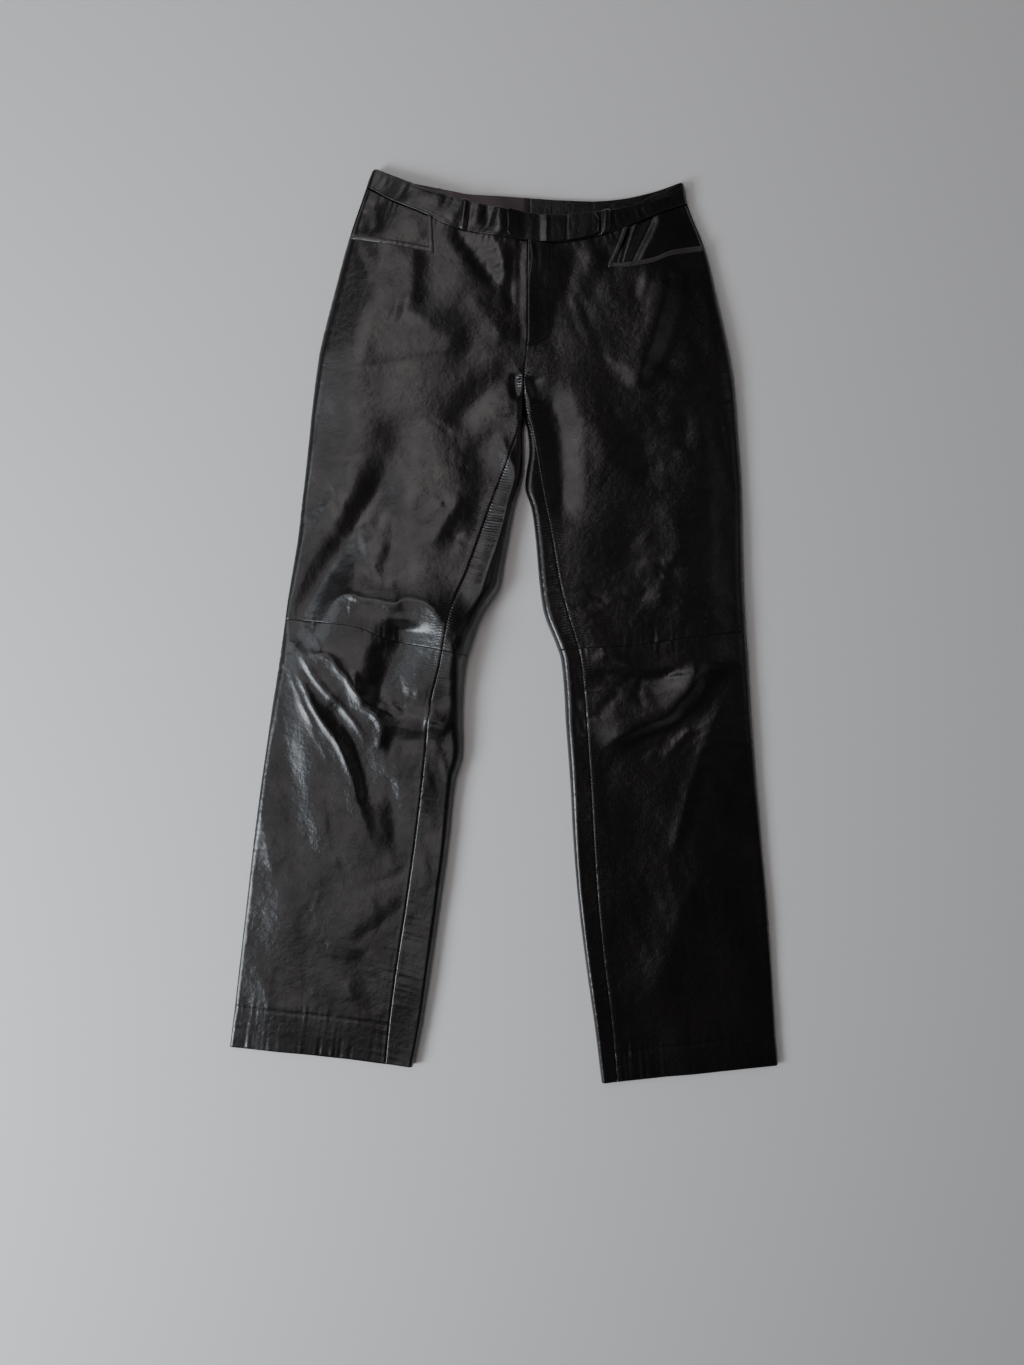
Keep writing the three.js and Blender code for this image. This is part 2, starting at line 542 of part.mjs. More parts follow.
function addPiece(name, geometry, colour, roughness = 0.42) {
  const leather = new THREE.MeshStandardMaterial({ color: colour, roughness, metalness: 0 });
  const piece = new THREE.Mesh(geometry, leather);
  piece.name = name;
  trousers.add(piece);
}

const frontColumns = frontShares.length - 1;
const sheets = {};
for (const [side, leg] of Object.entries(legs)) {
  const turn = -leg.inward;
  sheets[side] = {
    thigh: makeSheet(frontColumns, thighRows, (c, r) => frontPoint(leg, 'thigh', c, r), turn),
    shin: makeSheet(frontColumns, rowCounts.shin, (c, r) => frontPoint(leg, 'shin', c, r), turn),
    band: makeSheet(frontColumns, bandRows, (c, r) => frontPoint(leg, 'band', c, r), -turn),
    backThigh: makeSheet(backColumns, thighRows, (c, r) => backPoint(leg, 'thigh', c, r), -turn),
    backShin: makeSheet(backColumns, rowCounts.shin, (c, r) => backPoint(leg, 'shin', c, r), -turn),
    backBand: makeSheet(flatEnd, bandRows, (c, r) => backPoint(leg, 'band', c, r), turn),
  };
}

// Fronts, with the pocket's corner cut out, and the facing that shows in it
const inPocket = (column, row) => column < pocketColumn && row < pocketRowCount;
const aboveCrotch = (column, row) => column >= flatEnd && row < crotchRow;
for (const side of Object.keys(legs)) {
  const { thigh, shin, backThigh, backShin } = sheets[side];
  const frontWall = wallGeometry(thigh, wall, 0, (c, r) => !inPocket(c, r));
  const backWall = wallGeometry(backThigh, wall, 0, (c, r) => !aboveCrotch(c, r));
  addPiece(`front_thigh_${side}`, frontWall, leatherColours.panel);
  addPiece(`front_shin_${side}`, wallGeometry(shin, wall), leatherColours.panel);
  addPiece(`back_thigh_${side}`, backWall, leatherColours.panel);
  addPiece(`back_shin_${side}`, wallGeometry(backShin, wall), leatherColours.panel);
  const facing = trimSheet(pocketColumn + 1, pocketRowCount + 1, (column, row) => {
    return { sheet: thigh, column, row };
  });
  addPiece(`pocket_facing_${side}`, wallGeometry(facing, trimWall, -wall - seamGap), leatherColours.facing);
}

// Waistband halves: back underneath, round the side and over to the centre front, in one piece
function bandSheet(side) {
  const { band, backBand } = sheets[side];
  const columns = flatEnd + frontColumns;
  const sheet = { columns, rows: bandRows, points: [], normals: [] };
  for (let row = 0; row <= bandRows; row += 1) {
    for (let column = 0; column <= columns; column += 1) {
      const under = column <= flatEnd;
      const from = under ? backBand : band;
      const at = under ? flatEnd - column : column - flatEnd;
      const index = row * (from.columns + 1) + at;
      sheet.points.push(from.points[index].clone());
      sheet.normals.push(from.normals[index].clone());
    }
  }
  return sheet;
}
const bands = { r: bandSheet('r'), l: bandSheet('l') };
for (const side of Object.keys(legs)) {
  addPiece(`waistband_${side}`, wallGeometry(bands[side], bandWall), leatherColours.band);
}

// Grid column of the front part of a band whose point has this x
function bandColumn(side, x, row) {
  let column = flatEnd + 3;
  const before = (c) => (onSheet(bands[side], c, row).point.x - x) * legs[side].inward < 0;
  while (column < bands[side].columns && before(column + 1)) column += 1;
  const low = onSheet(bands[side], column, row).point.x;
  const high = onSheet(bands[side], Math.min(column + 1, bands[side].columns), row).point.x;
  return high === low ? column : column + clamp((x - low) / (high - low), 0, 1);
}

// Closing tab: one strap over both band halves, round at its free end and clipped at the other
const tabStops = [];
const tabStart = bandColumn('r', tabEnds.left, 0);
tabStops.push({ side: 'r', column: tabStart, low: 0.16, high: 0.84 });
tabStops.push({ side: 'r', column: bandColumn('r', tabEnds.left + tabCorner, 0), low: 0.02, high: 0.98 });
for (let column = Math.ceil(tabStops[1].column + 0.1); column <= bands.r.columns; column += 1) {
  tabStops.push({ side: 'r', column, low: 0.01, high: 0.99 });
}
const tabFinish = bandColumn('l', tabEnds.right, 0);
for (let column = bands.l.columns - 1; column > tabFinish + 0.4; column -= 1) {
  tabStops.push({ side: 'l', column, low: 0.02, high: 0.97 });
}
const tabClip = bandColumn('l', tabEnds.right - 2 * tabCorner, 0);
tabStops.push({ side: 'l', column: tabClip, low: 0.05, high: 0.95 });
tabStops.push({ side: 'l', column: tabFinish, low: 0.08, high: 0.62 });
const tab = trimSheet(tabStops.length - 1, bandRows, (column, row) => {
  const stop = tabStops[column];
  const level = lerp(stop.low, stop.high, row / bandRows);
  return { sheet: bands[stop.side], column: stop.column, row: bandRows * level };
});
addPiece('waist_tab', wallGeometry(tab, tabWall, tabLift + tabWall), leatherColours.band, 0.36);

// Front belt loops, a little arched off the band
for (const [side, loop] of Object.entries(frontLoops)) {
  const loopRows = 4;
  const strip = trimSheet(2, loopRows, (column, row) => {
    const level = lerp(0.03, 0.97, row / loopRows);
    const x = lerp(loop.footX, loop.topX, level) + (column / 2 - 0.5) * loopWidth;
    const bandRow = bandRows * level;
    const lift = loopArch * Math.sin(Math.PI * row / loopRows);
    return { sheet: bands[side], column: bandColumn(side, x, bandRow), row: bandRow, lift };
  });
  const arched = wallGeometry(strip, loopWall, trimLift + loopWall);
  addPiece(`belt_loop_front_${side}`, arched, leatherColours.trim);
}

// Back belt loops, flat between the band and the floor
for (const [name, x] of Object.entries(backLoopXs)) {
  const length = waist.backTop(x) - waist.backSeam(x);
  const loop = new THREE.BoxGeometry(loopWidth, length, loopWall);
  loop.translate(x, (waist.backTop(x) + waist.backSeam(x)) / 2, loopWall / 2);
  loop.deleteAttribute('normal');
  loop.deleteAttribute('uv');
  addPiece(name, loop, leatherColours.trim);
}

// Turned strip along each pocket mouth, in from the outseam and up to the waist with a mitred corner
for (const side of Object.keys(legs)) {
  const { thigh } = sheets[side];
  const down = pocketEdgeWidth / pocketCell.down;
  const across = pocketEdgeWidth / pocketCell.across;
  const stops = [];
  for (let column = 2; column < pocketColumn; column += 1) {
    stops.push({ column, row: pocketRowCount, down, across: 0 });
  }
  for (let row = pocketRowCount; row >= 0; row -= 1) {
    stops.push({ column: pocketColumn, row, down: row === pocketRowCount ? down : 0, across });
  }
  const strip = trimSheet(stops.length - 1, 1, (stop, far) => {
    const { column, row, down: below, across: beside } = stops[stop];
    return { sheet: thigh, column: column + far * beside, row: row + far * below };
  });
  addPiece(`pocket_edge_${side}`, wallGeometry(strip, trimWall, trimLift + trimWall), leatherColours.trim);
}

// Fly placket on the left front: straight down from the band, then curved in to the centre seam
function thighColumn(sheet, x, row) {
  let column = pocketColumn;
  while (column < frontColumns - 1 && onSheet(sheet, column + 1, row).point.x > x) column += 1;
  const low = onSheet(sheet, column, row).point.x;
  const high = onSheet(sheet, column + 1, row).point.x;
  return column + clamp((x - low) / (high - low), 0, 1);
}
const flyRows = 12;
const flySheet = sheets.l.thigh;
function rowAtHeight(sheet, column, y) {
  let row = 0;
  while (onSheet(sheet, column, row + 1).point.y > y) row += 1;
  const high = onSheet(sheet, column, row).point.y;
  const low = onSheet(sheet, column, row + 1).point.y;
  return row + (high - y) / (high - low);
}
const flyFoot = rowAtHeight(flySheet, frontColumns, fly.footY);
const flyTurn = rowAtHeight(flySheet, frontColumns, fly.turnY);
const placket = trimSheet(3, flyRows, (column, step) => {
  const row = lerp(0.05, flyFoot, step / flyRows);
  const turn = clamp((row - flyTurn) / (flyFoot - flyTurn), 0, 1);
  const width = fly.width * Math.max(Math.sqrt(1 - turn * turn), 0.08);
  const edgeX = onSheet(flySheet, frontColumns, row).point.x;
  return { sheet: flySheet, column: thighColumn(flySheet, edgeX + width * (1 - column / 3), row), row };
});
addPiece('fly_placket', wallGeometry(placket, trimWall, trimLift + trimWall), leatherColours.panel);

export default trousers;
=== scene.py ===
# %% [markdown]
# Black leather trousers, laid flat on their back with the front up.
# The real garment is cut from thin nappa leather: two fronts and two backs, each cut again at the
# knee, a waistband in two halves closed by a stitched tab, curved front pockets and a fly.
# Nothing is inflated or draped here. Each piece is a skin worked out as a function of two
# parameters, the share of the way across the panel and the place along the leg, so every fold
# sits at a size and a place that can be read in a table.

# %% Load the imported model
import math

import bpy
import numpy as np
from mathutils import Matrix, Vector


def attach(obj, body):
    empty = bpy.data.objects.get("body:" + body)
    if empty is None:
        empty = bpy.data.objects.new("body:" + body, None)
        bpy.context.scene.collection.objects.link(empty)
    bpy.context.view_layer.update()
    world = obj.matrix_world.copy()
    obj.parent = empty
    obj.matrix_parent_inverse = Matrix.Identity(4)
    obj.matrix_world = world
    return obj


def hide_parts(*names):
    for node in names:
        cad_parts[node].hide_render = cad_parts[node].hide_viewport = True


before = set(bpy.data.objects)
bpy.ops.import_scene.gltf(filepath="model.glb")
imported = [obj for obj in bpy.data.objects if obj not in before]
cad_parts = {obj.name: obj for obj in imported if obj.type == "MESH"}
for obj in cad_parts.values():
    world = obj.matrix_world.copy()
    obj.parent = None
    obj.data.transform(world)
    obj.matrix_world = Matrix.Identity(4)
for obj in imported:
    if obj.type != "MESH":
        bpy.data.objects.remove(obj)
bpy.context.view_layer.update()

# %% [markdown]
# All sizes below are in millimetres, because a tailor's sizes are, and they are turned into
# metres only when a mesh is made. The tables are the same as the solid model's: the plan of each
# leg, the lines that cross both legs, and the large folds. Side r is the wearer's right leg and
# side l the left.

# %% Sizes of the leather, the seams and the folded edges
MM = 0.001
# Thickness of one layer and of the stiffened band, and the clear space at leg seams and waist seam
SKIN = 1.2
BAND_SKIN = 2.2
SEAM_GAP = 0.12
WAIST_GAP = 0.14
# A folded edge: radius underneath, width of the turn over its height, share of the loft that it
# takes, reach of the slow swell after it, and the least height that is left in a trough
EDGE_ROUND = 4.5
TURN_LEAN = 1.25
TURN_SHARE = 0.58
SWELL_WIDTH = 58.0
LEAST_LOFT = 3.0
# The centre front, the place where the legs part, and the one above which the valley has gone
CENTRE_X = 27.4
CROTCH_Y = 238.0
VALLEY_Y = 304.0
PARTING_RUN = 14.0
# Lift of the back over its belt loops, the length that it takes, and the lower hang of the back hem
BAND_LIFT = 2.1
BAND_LIFT_RUN = 34.0
HEM_DROP = 3.0
print("one layer", SKIN, "mm, band", BAND_SKIN, "mm")

# %% Plan of the legs, the waist and the lines across
LEG_COLUMNS = ("y", "outer", "inner", "seam", "out_loft", "in_loft")
LEG_ROWS = {
    "r": [
        (528, -152, 27.4, 27.4, 14, 19), (503, -159.5, 27.4, 27.4, 14, 20),
        (448, -178, 27.4, 27.4, 18, 20), (374, -198, 26.6, 26.6, 21, 18),
        (320, -211.5, 26.4, 26.4, 21, 18), (290, -216.5, 23.5, 23.5, 20, 18),
        (262, -220, 22.5, 22.5, 19, 17), (238, -222.8, 23.5, 21.2, 18, 16),
        (222, -224.2, 22, 16.6, 18, 16), (198, -226.8, 22.6, 8, 18, 16), (172, -229.6, 20.9, -2, 18, 16),
        (139, -233.4, 11.9, -14.6, 18, 17), (98, -238.2, 4.2, -29, 18, 19),
        (60, -244.5, -2.6, -42.5, 18, 24), (42, -247.5, -6, -50.4, 18, 27),
        (24, -250.4, -17, -57.3, 18, 29), (5, -252.9, -28, -63.3, 18, 30),
        (-22, -256.5, -37.6, -68.6, 18, 30), (-49, -260.3, -45.3, -73.6, 18, 28),
        (-99, -268.2, -48.5, -85.6, 17, 24), (-152, -275.9, -48.6, -90.6, 16, 20),
        (-180, -280, -56.6, -93.4, 15, 17), (-250, -289, -64.4, -102.3, 14, 15),
        (-320, -297, -74, -112, 13, 14), (-389, -305, -84, -122.7, 12, 13),
        (-459, -313, -94.6, -132, 11, 12), (-520, -320, -107, -137.6, 10, 11),
    ],
    "l": [
        (528, 203, 27.4, 27.4, 14, 19), (512, 207.8, 27.4, 27.4, 14, 19),
        (484, 212.4, 27.4, 27.4, 14, 20), (434, 232, 27.4, 27.4, 15, 20),
        (374, 246.8, 26.6, 26.6, 17, 19), (320, 258.8, 26.4, 26.4, 18, 18),
        (290, 264, 23.5, 23.5, 18, 18), (262, 267.2, 22.5, 22.5, 17, 17), (238, 269, 23.8, 26.6, 17, 16),
        (222, 270, 27.4, 32, 17, 15), (198, 271.8, 29, 37.4, 17, 15), (172, 273.6, 25.6, 41.6, 17, 15),
        (156, 274.3, 24.6, 44.6, 17, 15), (134, 274.8, 31.6, 48.8, 18, 15),
        (98, 275.4, 36.4, 55.6, 19, 15), (44, 276.7, 41.2, 65.2, 20, 16), (10, 278.5, 46.8, 74, 20, 17),
        (-24, 280.6, 60.2, 84.6, 20, 17), (-41, 281.8, 65.6, 88.4, 20, 17),
        (-76, 283.8, 69.3, 92.4, 19, 16), (-111, 286, 71.1, 95.2, 18, 15),
        (-180, 291, 76.2, 100, 16, 14), (-250, 297, 80, 104, 14, 13), (-320, 303.4, 85.8, 108.8, 13, 12),
        (-389, 308.2, 94, 115.9, 12, 12), (-459, 312.4, 104, 124.6, 11, 11),
        (-535, 317.6, 113.4, 131.4, 10, 10),
    ],
}

WAIST_COLUMNS = ("x", "front_top", "front_seam", "back_top", "back_seam")
WAIST_ROWS = [
    (-170, 532, 509, 532, 509), (-155, 527, 502.5, 527, 502.5), (-120, 513, 484.5, 514, 484.5),
    (-84, 498, 469, 506.5, 475), (-58, 489.5, 456, 501.5, 470), (-40, 484, 449.5, 498, 466),
    (4, 473.5, 440.5, 495, 463), (27.4, 469, 437, 493.5, 461.5), (46, 466.5, 434.5, 492, 460),
    (71, 467, 436, 490.5, 458.5), (107, 471.5, 444, 489.5, 458), (140, 478.5, 457, 492.5, 461),
    (162, 487, 465.5, 497, 466), (185, 498, 475, 503, 475), (209, 512, 483.5, 512, 483.5),
    (222, 519, 487, 519, 487),
]

CROSS_LINES = {
    "r": {
        "pocket": [(-258, 462), (-213, 454), (-166, 446), (-130, 439), (-83, 430.8), (-40, 420), (28, 405)],
        "crotch": [(-258, 282), (-213, 277), (-166, 269), (-130, 262), (-83, 253), (-40, 246), (28, 238)],
        "knee": [(-258, 6), (-213, 2), (-166, -5.5), (-130, -19), (-83, -28), (-40, -37), (28, -44)],
        "hem": [(-325, -487), (-258, -493), (-166, -502.5), (28, -527)],
    },
    "l": {
        "pocket": [(22, 404), (63, 409), (122, 413.7), (138, 413.7), (167, 419), (190, 428),
                   (232, 435.4), (280, 442)],
        "crotch": [(22, 238), (63, 244), (122, 252), (138, 254), (167, 257), (190, 260),
                   (232, 263), (280, 266)],
        "knee": [(22, -34), (63, -30), (122, -26.5), (138, -26), (167, -23), (190, -19.5),
                 (232, -14), (280, -9)],
        "hem": [(22, -537), (320, -508.6)],
    },
}
print("rows down each leg", {side: len(rows) for side, rows in LEG_ROWS.items()})

# %% [markdown]
# Between the rows of a table a value runs along a smooth curve. Straight stretches would show as
# corners in the outline, and a Bezier curve object can't be asked for its value at a place. So
# each stretch is a cubic whose slope at a row is the slope between that row's two neighbours.

# %% Smooth curves through the tables
def smoothstep(value, low, high):
    """0 below low, 1 above high, and 3 t squared less 2 t cubed between them."""
    t = np.clip((value - low) / (high - low), 0, 1)
    return t * t * (3 - 2 * t)


def lerp(a, b, t):
    """a at t 0, b at t 1, straight between."""
    return a + (b - a) * t


def smooth_curve(knots):
    """Cubic pieces through (place, value) knots. With d the rise over a span and a, b the misfits
    of the end slopes, value = v0 + t d + t (1 - t)(a (1 - t) + b t). Straight on past both ends."""
    knots = np.array(sorted(knots), dtype=float)
    place, value = knots[:, 0], knots[:, 1]
    last = len(place) - 1
    before, after = np.maximum(np.arange(last + 1) - 1, 0), np.minimum(np.arange(last + 1) + 1, last)
    slope = (value[after] - value[before]) / (place[after] - place[before])

    def curve(at):
        at = np.asarray(at, dtype=float)
        i = np.clip(np.searchsorted(place, at, side="left") - 1, 0, last - 1)
        span, rise = place[i + 1] - place[i], value[i + 1] - value[i]
        t = (at - place[i]) / span
        a, b = slope[i] * span - rise, rise - slope[i + 1] * span
        inside = value[i] + t * rise + t * (1 - t) * (a * (1 - t) + b * t)
        low = value[0] + (at - place[0]) * slope[0]
        high = value[last] + (at - place[last]) * slope[last]
        return np.where(at <= place[0], low, np.where(at >= place[last], high, inside))

    return curve


def column(rows, names, at, name):
    """The smooth curve of one named column of a table against another."""
    return smooth_curve([(row[names.index(at)], row[names.index(name)]) for row in rows])


WAIST = {name: column(WAIST_ROWS, WAIST_COLUMNS, "x", name) for name in WAIST_COLUMNS[1:]}
print("waist seam at the centre front", round(float(WAIST["front_seam"](CENTRE_X)), 1), "mm up")

# %% [markdown]
# A fold in leather isn't a round hill. It has a crest or a bottom line that wanders, flanks of
# unequal width, and it runs out slowly at both ends. A cloth simulation would make such folds, but
# somewhere else. So each fold here is a line of places, the reach of its right and left flank as
# seen along the line, and a height, negative for a trough. They were read off the garment as it
# lies: the sweep across the thigh, the knee that still bulges, the fan of folds below it, and the
# shallow swells over hip and shin.

# %% Folds of the right leg: places along the crest, right flank, left flank, height
RIGHT_FOLDS = [
    ([(-84, 436), (-88, 413), (-91, 381), (-91, 349)], 12, 16, -1.5),  # hip fold below the pocket
    ([(-123, 362), (-107, 356), (-91, 344), (-68, 328), (-39, 312)], 16, 15, 2.8),  # hip crest
    ([(-103, 431), (-104, 392), (-105, 360)], 22, 10, 2),  # hip crest, upper
    ([(-171, 434), (-161, 413), (-152, 388)], 5, 4, 0.8),  # ray below the pocket
    ([(-167, 434), (-146, 413), (-128, 397)], 5, 5, -0.6),  # second ray
    ([(-59, 458), (-47, 439), (-34, 423), (-17, 400), (1, 384)], 6, 6, -2),  # long V crease
    ([(-7, 392), (5, 369), (12, 347), (22, 316)], 8, 7, -1.2),  # lower V
    ([(-39, 378), (-18, 349), (2, 318)], 12, 8, 1),  # beside the V
    ([(-20, 454), (-9, 433), (-1, 413), (2, 388)], 8, 11, 2.3),  # bulge below the band
    ([(-32, 430), (-20, 426), (-6, 431)], 2, 2.6, -0.5),  # bulge wrinkle
    ([(-23, 415), (-12, 410), (1, 416)], 2, 2.6, -0.5),  # bulge wrinkle 2
    ([(-16, 400), (-8, 398), (4, 402)], 2, 2.4, -0.5),  # bulge wrinkle 3
    ([(13, 434), (10, 408), (9, 381), (15, 349)], 5, 9, -1.8),  # valley by the fly
    ([(22, 417), (23, 406), (24, 394)], 3, 4, 0.5),  # dart by the fly
    ([(20, 284), (23, 275), (25, 264)], 4, 5, 3.6),  # crotch bump
    ([(14, 271), (22, 270), (31, 272)], 1.4, 1.4, -0.8),  # crotch bump crease
    ([(14, 287), (13, 272), (16, 255)], 3, 4, -3),  # beside the bump
    ([(-164, 477), (-163, 465), (-167, 449)], 5, 5, -1.6),  # waist hollow
    ([(-210, 286), (-151, 294), (-82, 304), (-8, 308)], 3, 3, -0.5),  # long faint crease
    ([(18, 289), (-4, 278), (-27, 261), (-43, 243), (-56, 219)], 10, 11, -2.4),  # crotch fold
    ([(-23, 253), (-7, 248), (13, 252)], 2.2, 2.2, 0.6),  # crotch crease
    ([(-18, 244), (-2, 240), (12, 244)], 2.2, 2.2, 0.5),  # crotch crease 2
    ([(-121, 246), (-123, 210), (-137, 175), (-160, 134), (-185, 100)], 14, 16, -2),  # thigh sweep, top
    # thigh sweep
    ([(-123, 191), (-148, 146), (-176, 100), (-201, 59), (-224, 18), (-249, -32)], 10, 15, -4.8),
    ([(-176, 118), (-198, 79), (-224, 41), (-246, 2), (-269, -37)], 11, 13, -4),  # sweep foot
    ([(-208, 105), (-222, 73), (-235, 41), (-243, 18)], 5, 6, 0.5),  # sweep crest
    ([(-160, 199), (-187, 184), (-212, 162), (-232, 132)], 4, 4, -0.8),  # side crease
    ([(-180, 178), (-208, 148), (-233, 111)], 4, 5, -0.6),  # side crease 2
    ([(-198, 143), (-219, 118), (-236, 82)], 4, 6, 0.6),  # side crease 3
    ([(-124, 136), (-128, 95), (-132, 54)], 7, 10, -1.7),  # thigh trough
    ([(-157, 127), (-148, 107), (-137, 90)], 3, 4, -0.5),  # thigh trough, side
    ([(-34, 219), (-28, 180), (-27, 141), (-34, 95)], 9, 12, -1.5),  # inner trough
    ([(-48, 150), (-66, 118), (-87, 84)], 9, 9, 1.8),  # inner crest
    ([(-69, 141), (-82, 125), (-96, 114)], 6, 6, 0.7),  # inner crest 2
    # inner rise
    ([(-7, 219), (2, 198), (13, 166), (6, 127), (-4, 102), (-15, 70), (-25, 38), (-34, 13)], 9, 7, 4),
    ([(-212, 29), (-181, 43), (-136, 38), (-90, 38), (-52, 20)], 9, 14, -1),  # above the knee
    # knee crest
    ([(-210, 19), (-194, 27), (-176, 33), (-163, 28), (-143, 25), (-125, 22), (-115, 25), (-101, 25),
      (-84, 18), (-72, 4), (-66, -16), (-61, -37), (-51, -60), (-55, -83)], 15, 17, 6),
    # knee rim line
    ([(-208, 20), (-194, 28), (-176, 33), (-163, 28), (-143, 25), (-125, 22), (-115, 26), (-101, 26),
      (-84, 19), (-72, 4), (-67, -19)], 3.4, 3, 1.2),
    ([(-63, -19), (-55, -37), (-50, -60), (-56, -78)], 4, 4, 1.8),  # knee rim
    ([(-114, 4), (-116, -12), (-119, -32), (-129, -58), (-148, -96)], 12, 15, -6.6),  # knee pit
    ([(-146, -23), (-139, -51), (-150, -83)], 9, 8, -2.6),  # pit floor
    ([(-68, 2), (-52, -12), (-42, -28), (-39, -48)], 8, 8, 3),  # knee shine
    ([(-158, -78), (-132, -88), (-90, -91), (-46, -84)], 7, 8, -2.4),  # below the knee slab
    ([(-91, -106), (-75, -110), (-61, -121)], 10, 8, 2.6),  # pillow
    ([(-139, -124), (-114, -136), (-86, -135), (-52, -147)], 9, 8, -2.7),  # under the pillow
    # first shin crest
    ([(-252, -38), (-237, -56), (-227, -75), (-217, -96), (-204, -117), (-190, -136), (-179, -160),
      (-171, -183), (-160, -229), (-141, -272)], 12, 7, 2.6),
    # first shin rim
    ([(-252, -38), (-237, -56), (-227, -75), (-217, -96), (-204, -117), (-190, -136), (-179, -160),
      (-171, -183), (-167, -208)], 2.8, 3, 1.3),
    ([(-254, -42), (-244, -60), (-236, -80), (-225, -103), (-213, -124)], 2.6, 3, 0.8),  # outer shin rim
    ([(-203, -87), (-187, -108), (-171, -135), (-160, -181), (-156, -215)], 6, 12, -3.6),  # shin valley
    # second shin crest
    ([(-250, -15), (-236, -30), (-224, -46), (-217, -58), (-205, -72), (-192, -87), (-176, -107),
      (-164, -125), (-157, -144)], 7, 5, 1.5),
    # second shin rim
    ([(-250, -15), (-236, -30), (-226, -46), (-218, -60), (-205, -76), (-189, -92), (-173, -110),
      (-160, -131)], 2.4, 2.6, 0.9),
    # third shin crest
    ([(-241, -23), (-224, -37), (-208, -37), (-197, -43), (-188, -55), (-178, -66), (-172, -76),
      (-163, -86), (-152, -100), (-137, -110), (-114, -117), (-87, -125)], 9, 7, 2.3),
    # third shin rim
    ([(-224, -42), (-208, -36), (-196, -40), (-189, -52), (-179, -62), (-172, -76), (-165, -84),
      (-154, -93)], 2.6, 3, 1),
    ([(-173, -51), (-169, -64), (-167, -78), (-157, -88)], 2.8, 3, 1),  # short crest
    ([(-167, -90), (-137, -107), (-105, -114)], 2, 2.2, -0.6),  # shin line
    ([(-157, -87), (-132, -102), (-103, -108)], 2, 2.2, -0.6),  # shin line 2
    ([(-173, -87), (-148, -112), (-137, -135)], 2.5, 2.5, -0.6),  # shin line 3
    ([(-128, -131), (-132, -151), (-125, -174)], 3, 3, -0.7),  # shin line 4
    ([(-149, -101), (-141, -121), (-144, -147)], 4, 4, 1.3),  # short ridge
    ([(-131, -169), (-128, -215), (-127, -268)], 6, 7, -1.5),  # shin streak
    ([(-252, -106), (-252, -161), (-246, -207), (-240, -249), (-233, -300)], 11, 14, -3),  # outer valley
    ([(-280, -208), (-274, -247), (-266, -290)], 6, 7, 1.2),  # outer crest
    ([(-237, -119), (-229, -161), (-219, -211), (-210, -261)], 12, 10, 0.7),  # sheen crest
    ([(-203, -195), (-195, -253), (-185, -279), (-174, -320)], 3, 4, -0.55),  # thin line
    ([(-192, -314), (-159, -303), (-122, -288), (-106, -274)], 3.5, 3.5, -0.4),  # cross crease
    ([(-179, -370), (-151, -350), (-122, -329), (-111, -314)], 5, 5, -0.7),  # V upper
    ([(-171, -373), (-157, -411), (-146, -450)], 9, 8, -0.9),  # V lower
    ([(-157, -376), (-152, -391), (-153, -405)], 5, 6, 0.5),  # V patch
    ([(-212, -306), (-216, -320), (-220, -334)], 3, 3, 0.3),  # spark
    ([(-203, -366), (-198, -374), (-194, -386)], 2.5, 2.5, 0.3),  # spark 2
    ([(-181, -409), (-178, -421), (-174, -433)], 5, 5, 0.5),  # spark 3
    ([(-290, -384), (-276, -418), (-269, -453)], 4, 4, 0.5),  # low line
    ([(-260, -391), (-262, -418), (-256, -441)], 3, 3, -0.5),  # low line 2
]
print("folds on the right leg", len(RIGHT_FOLDS))

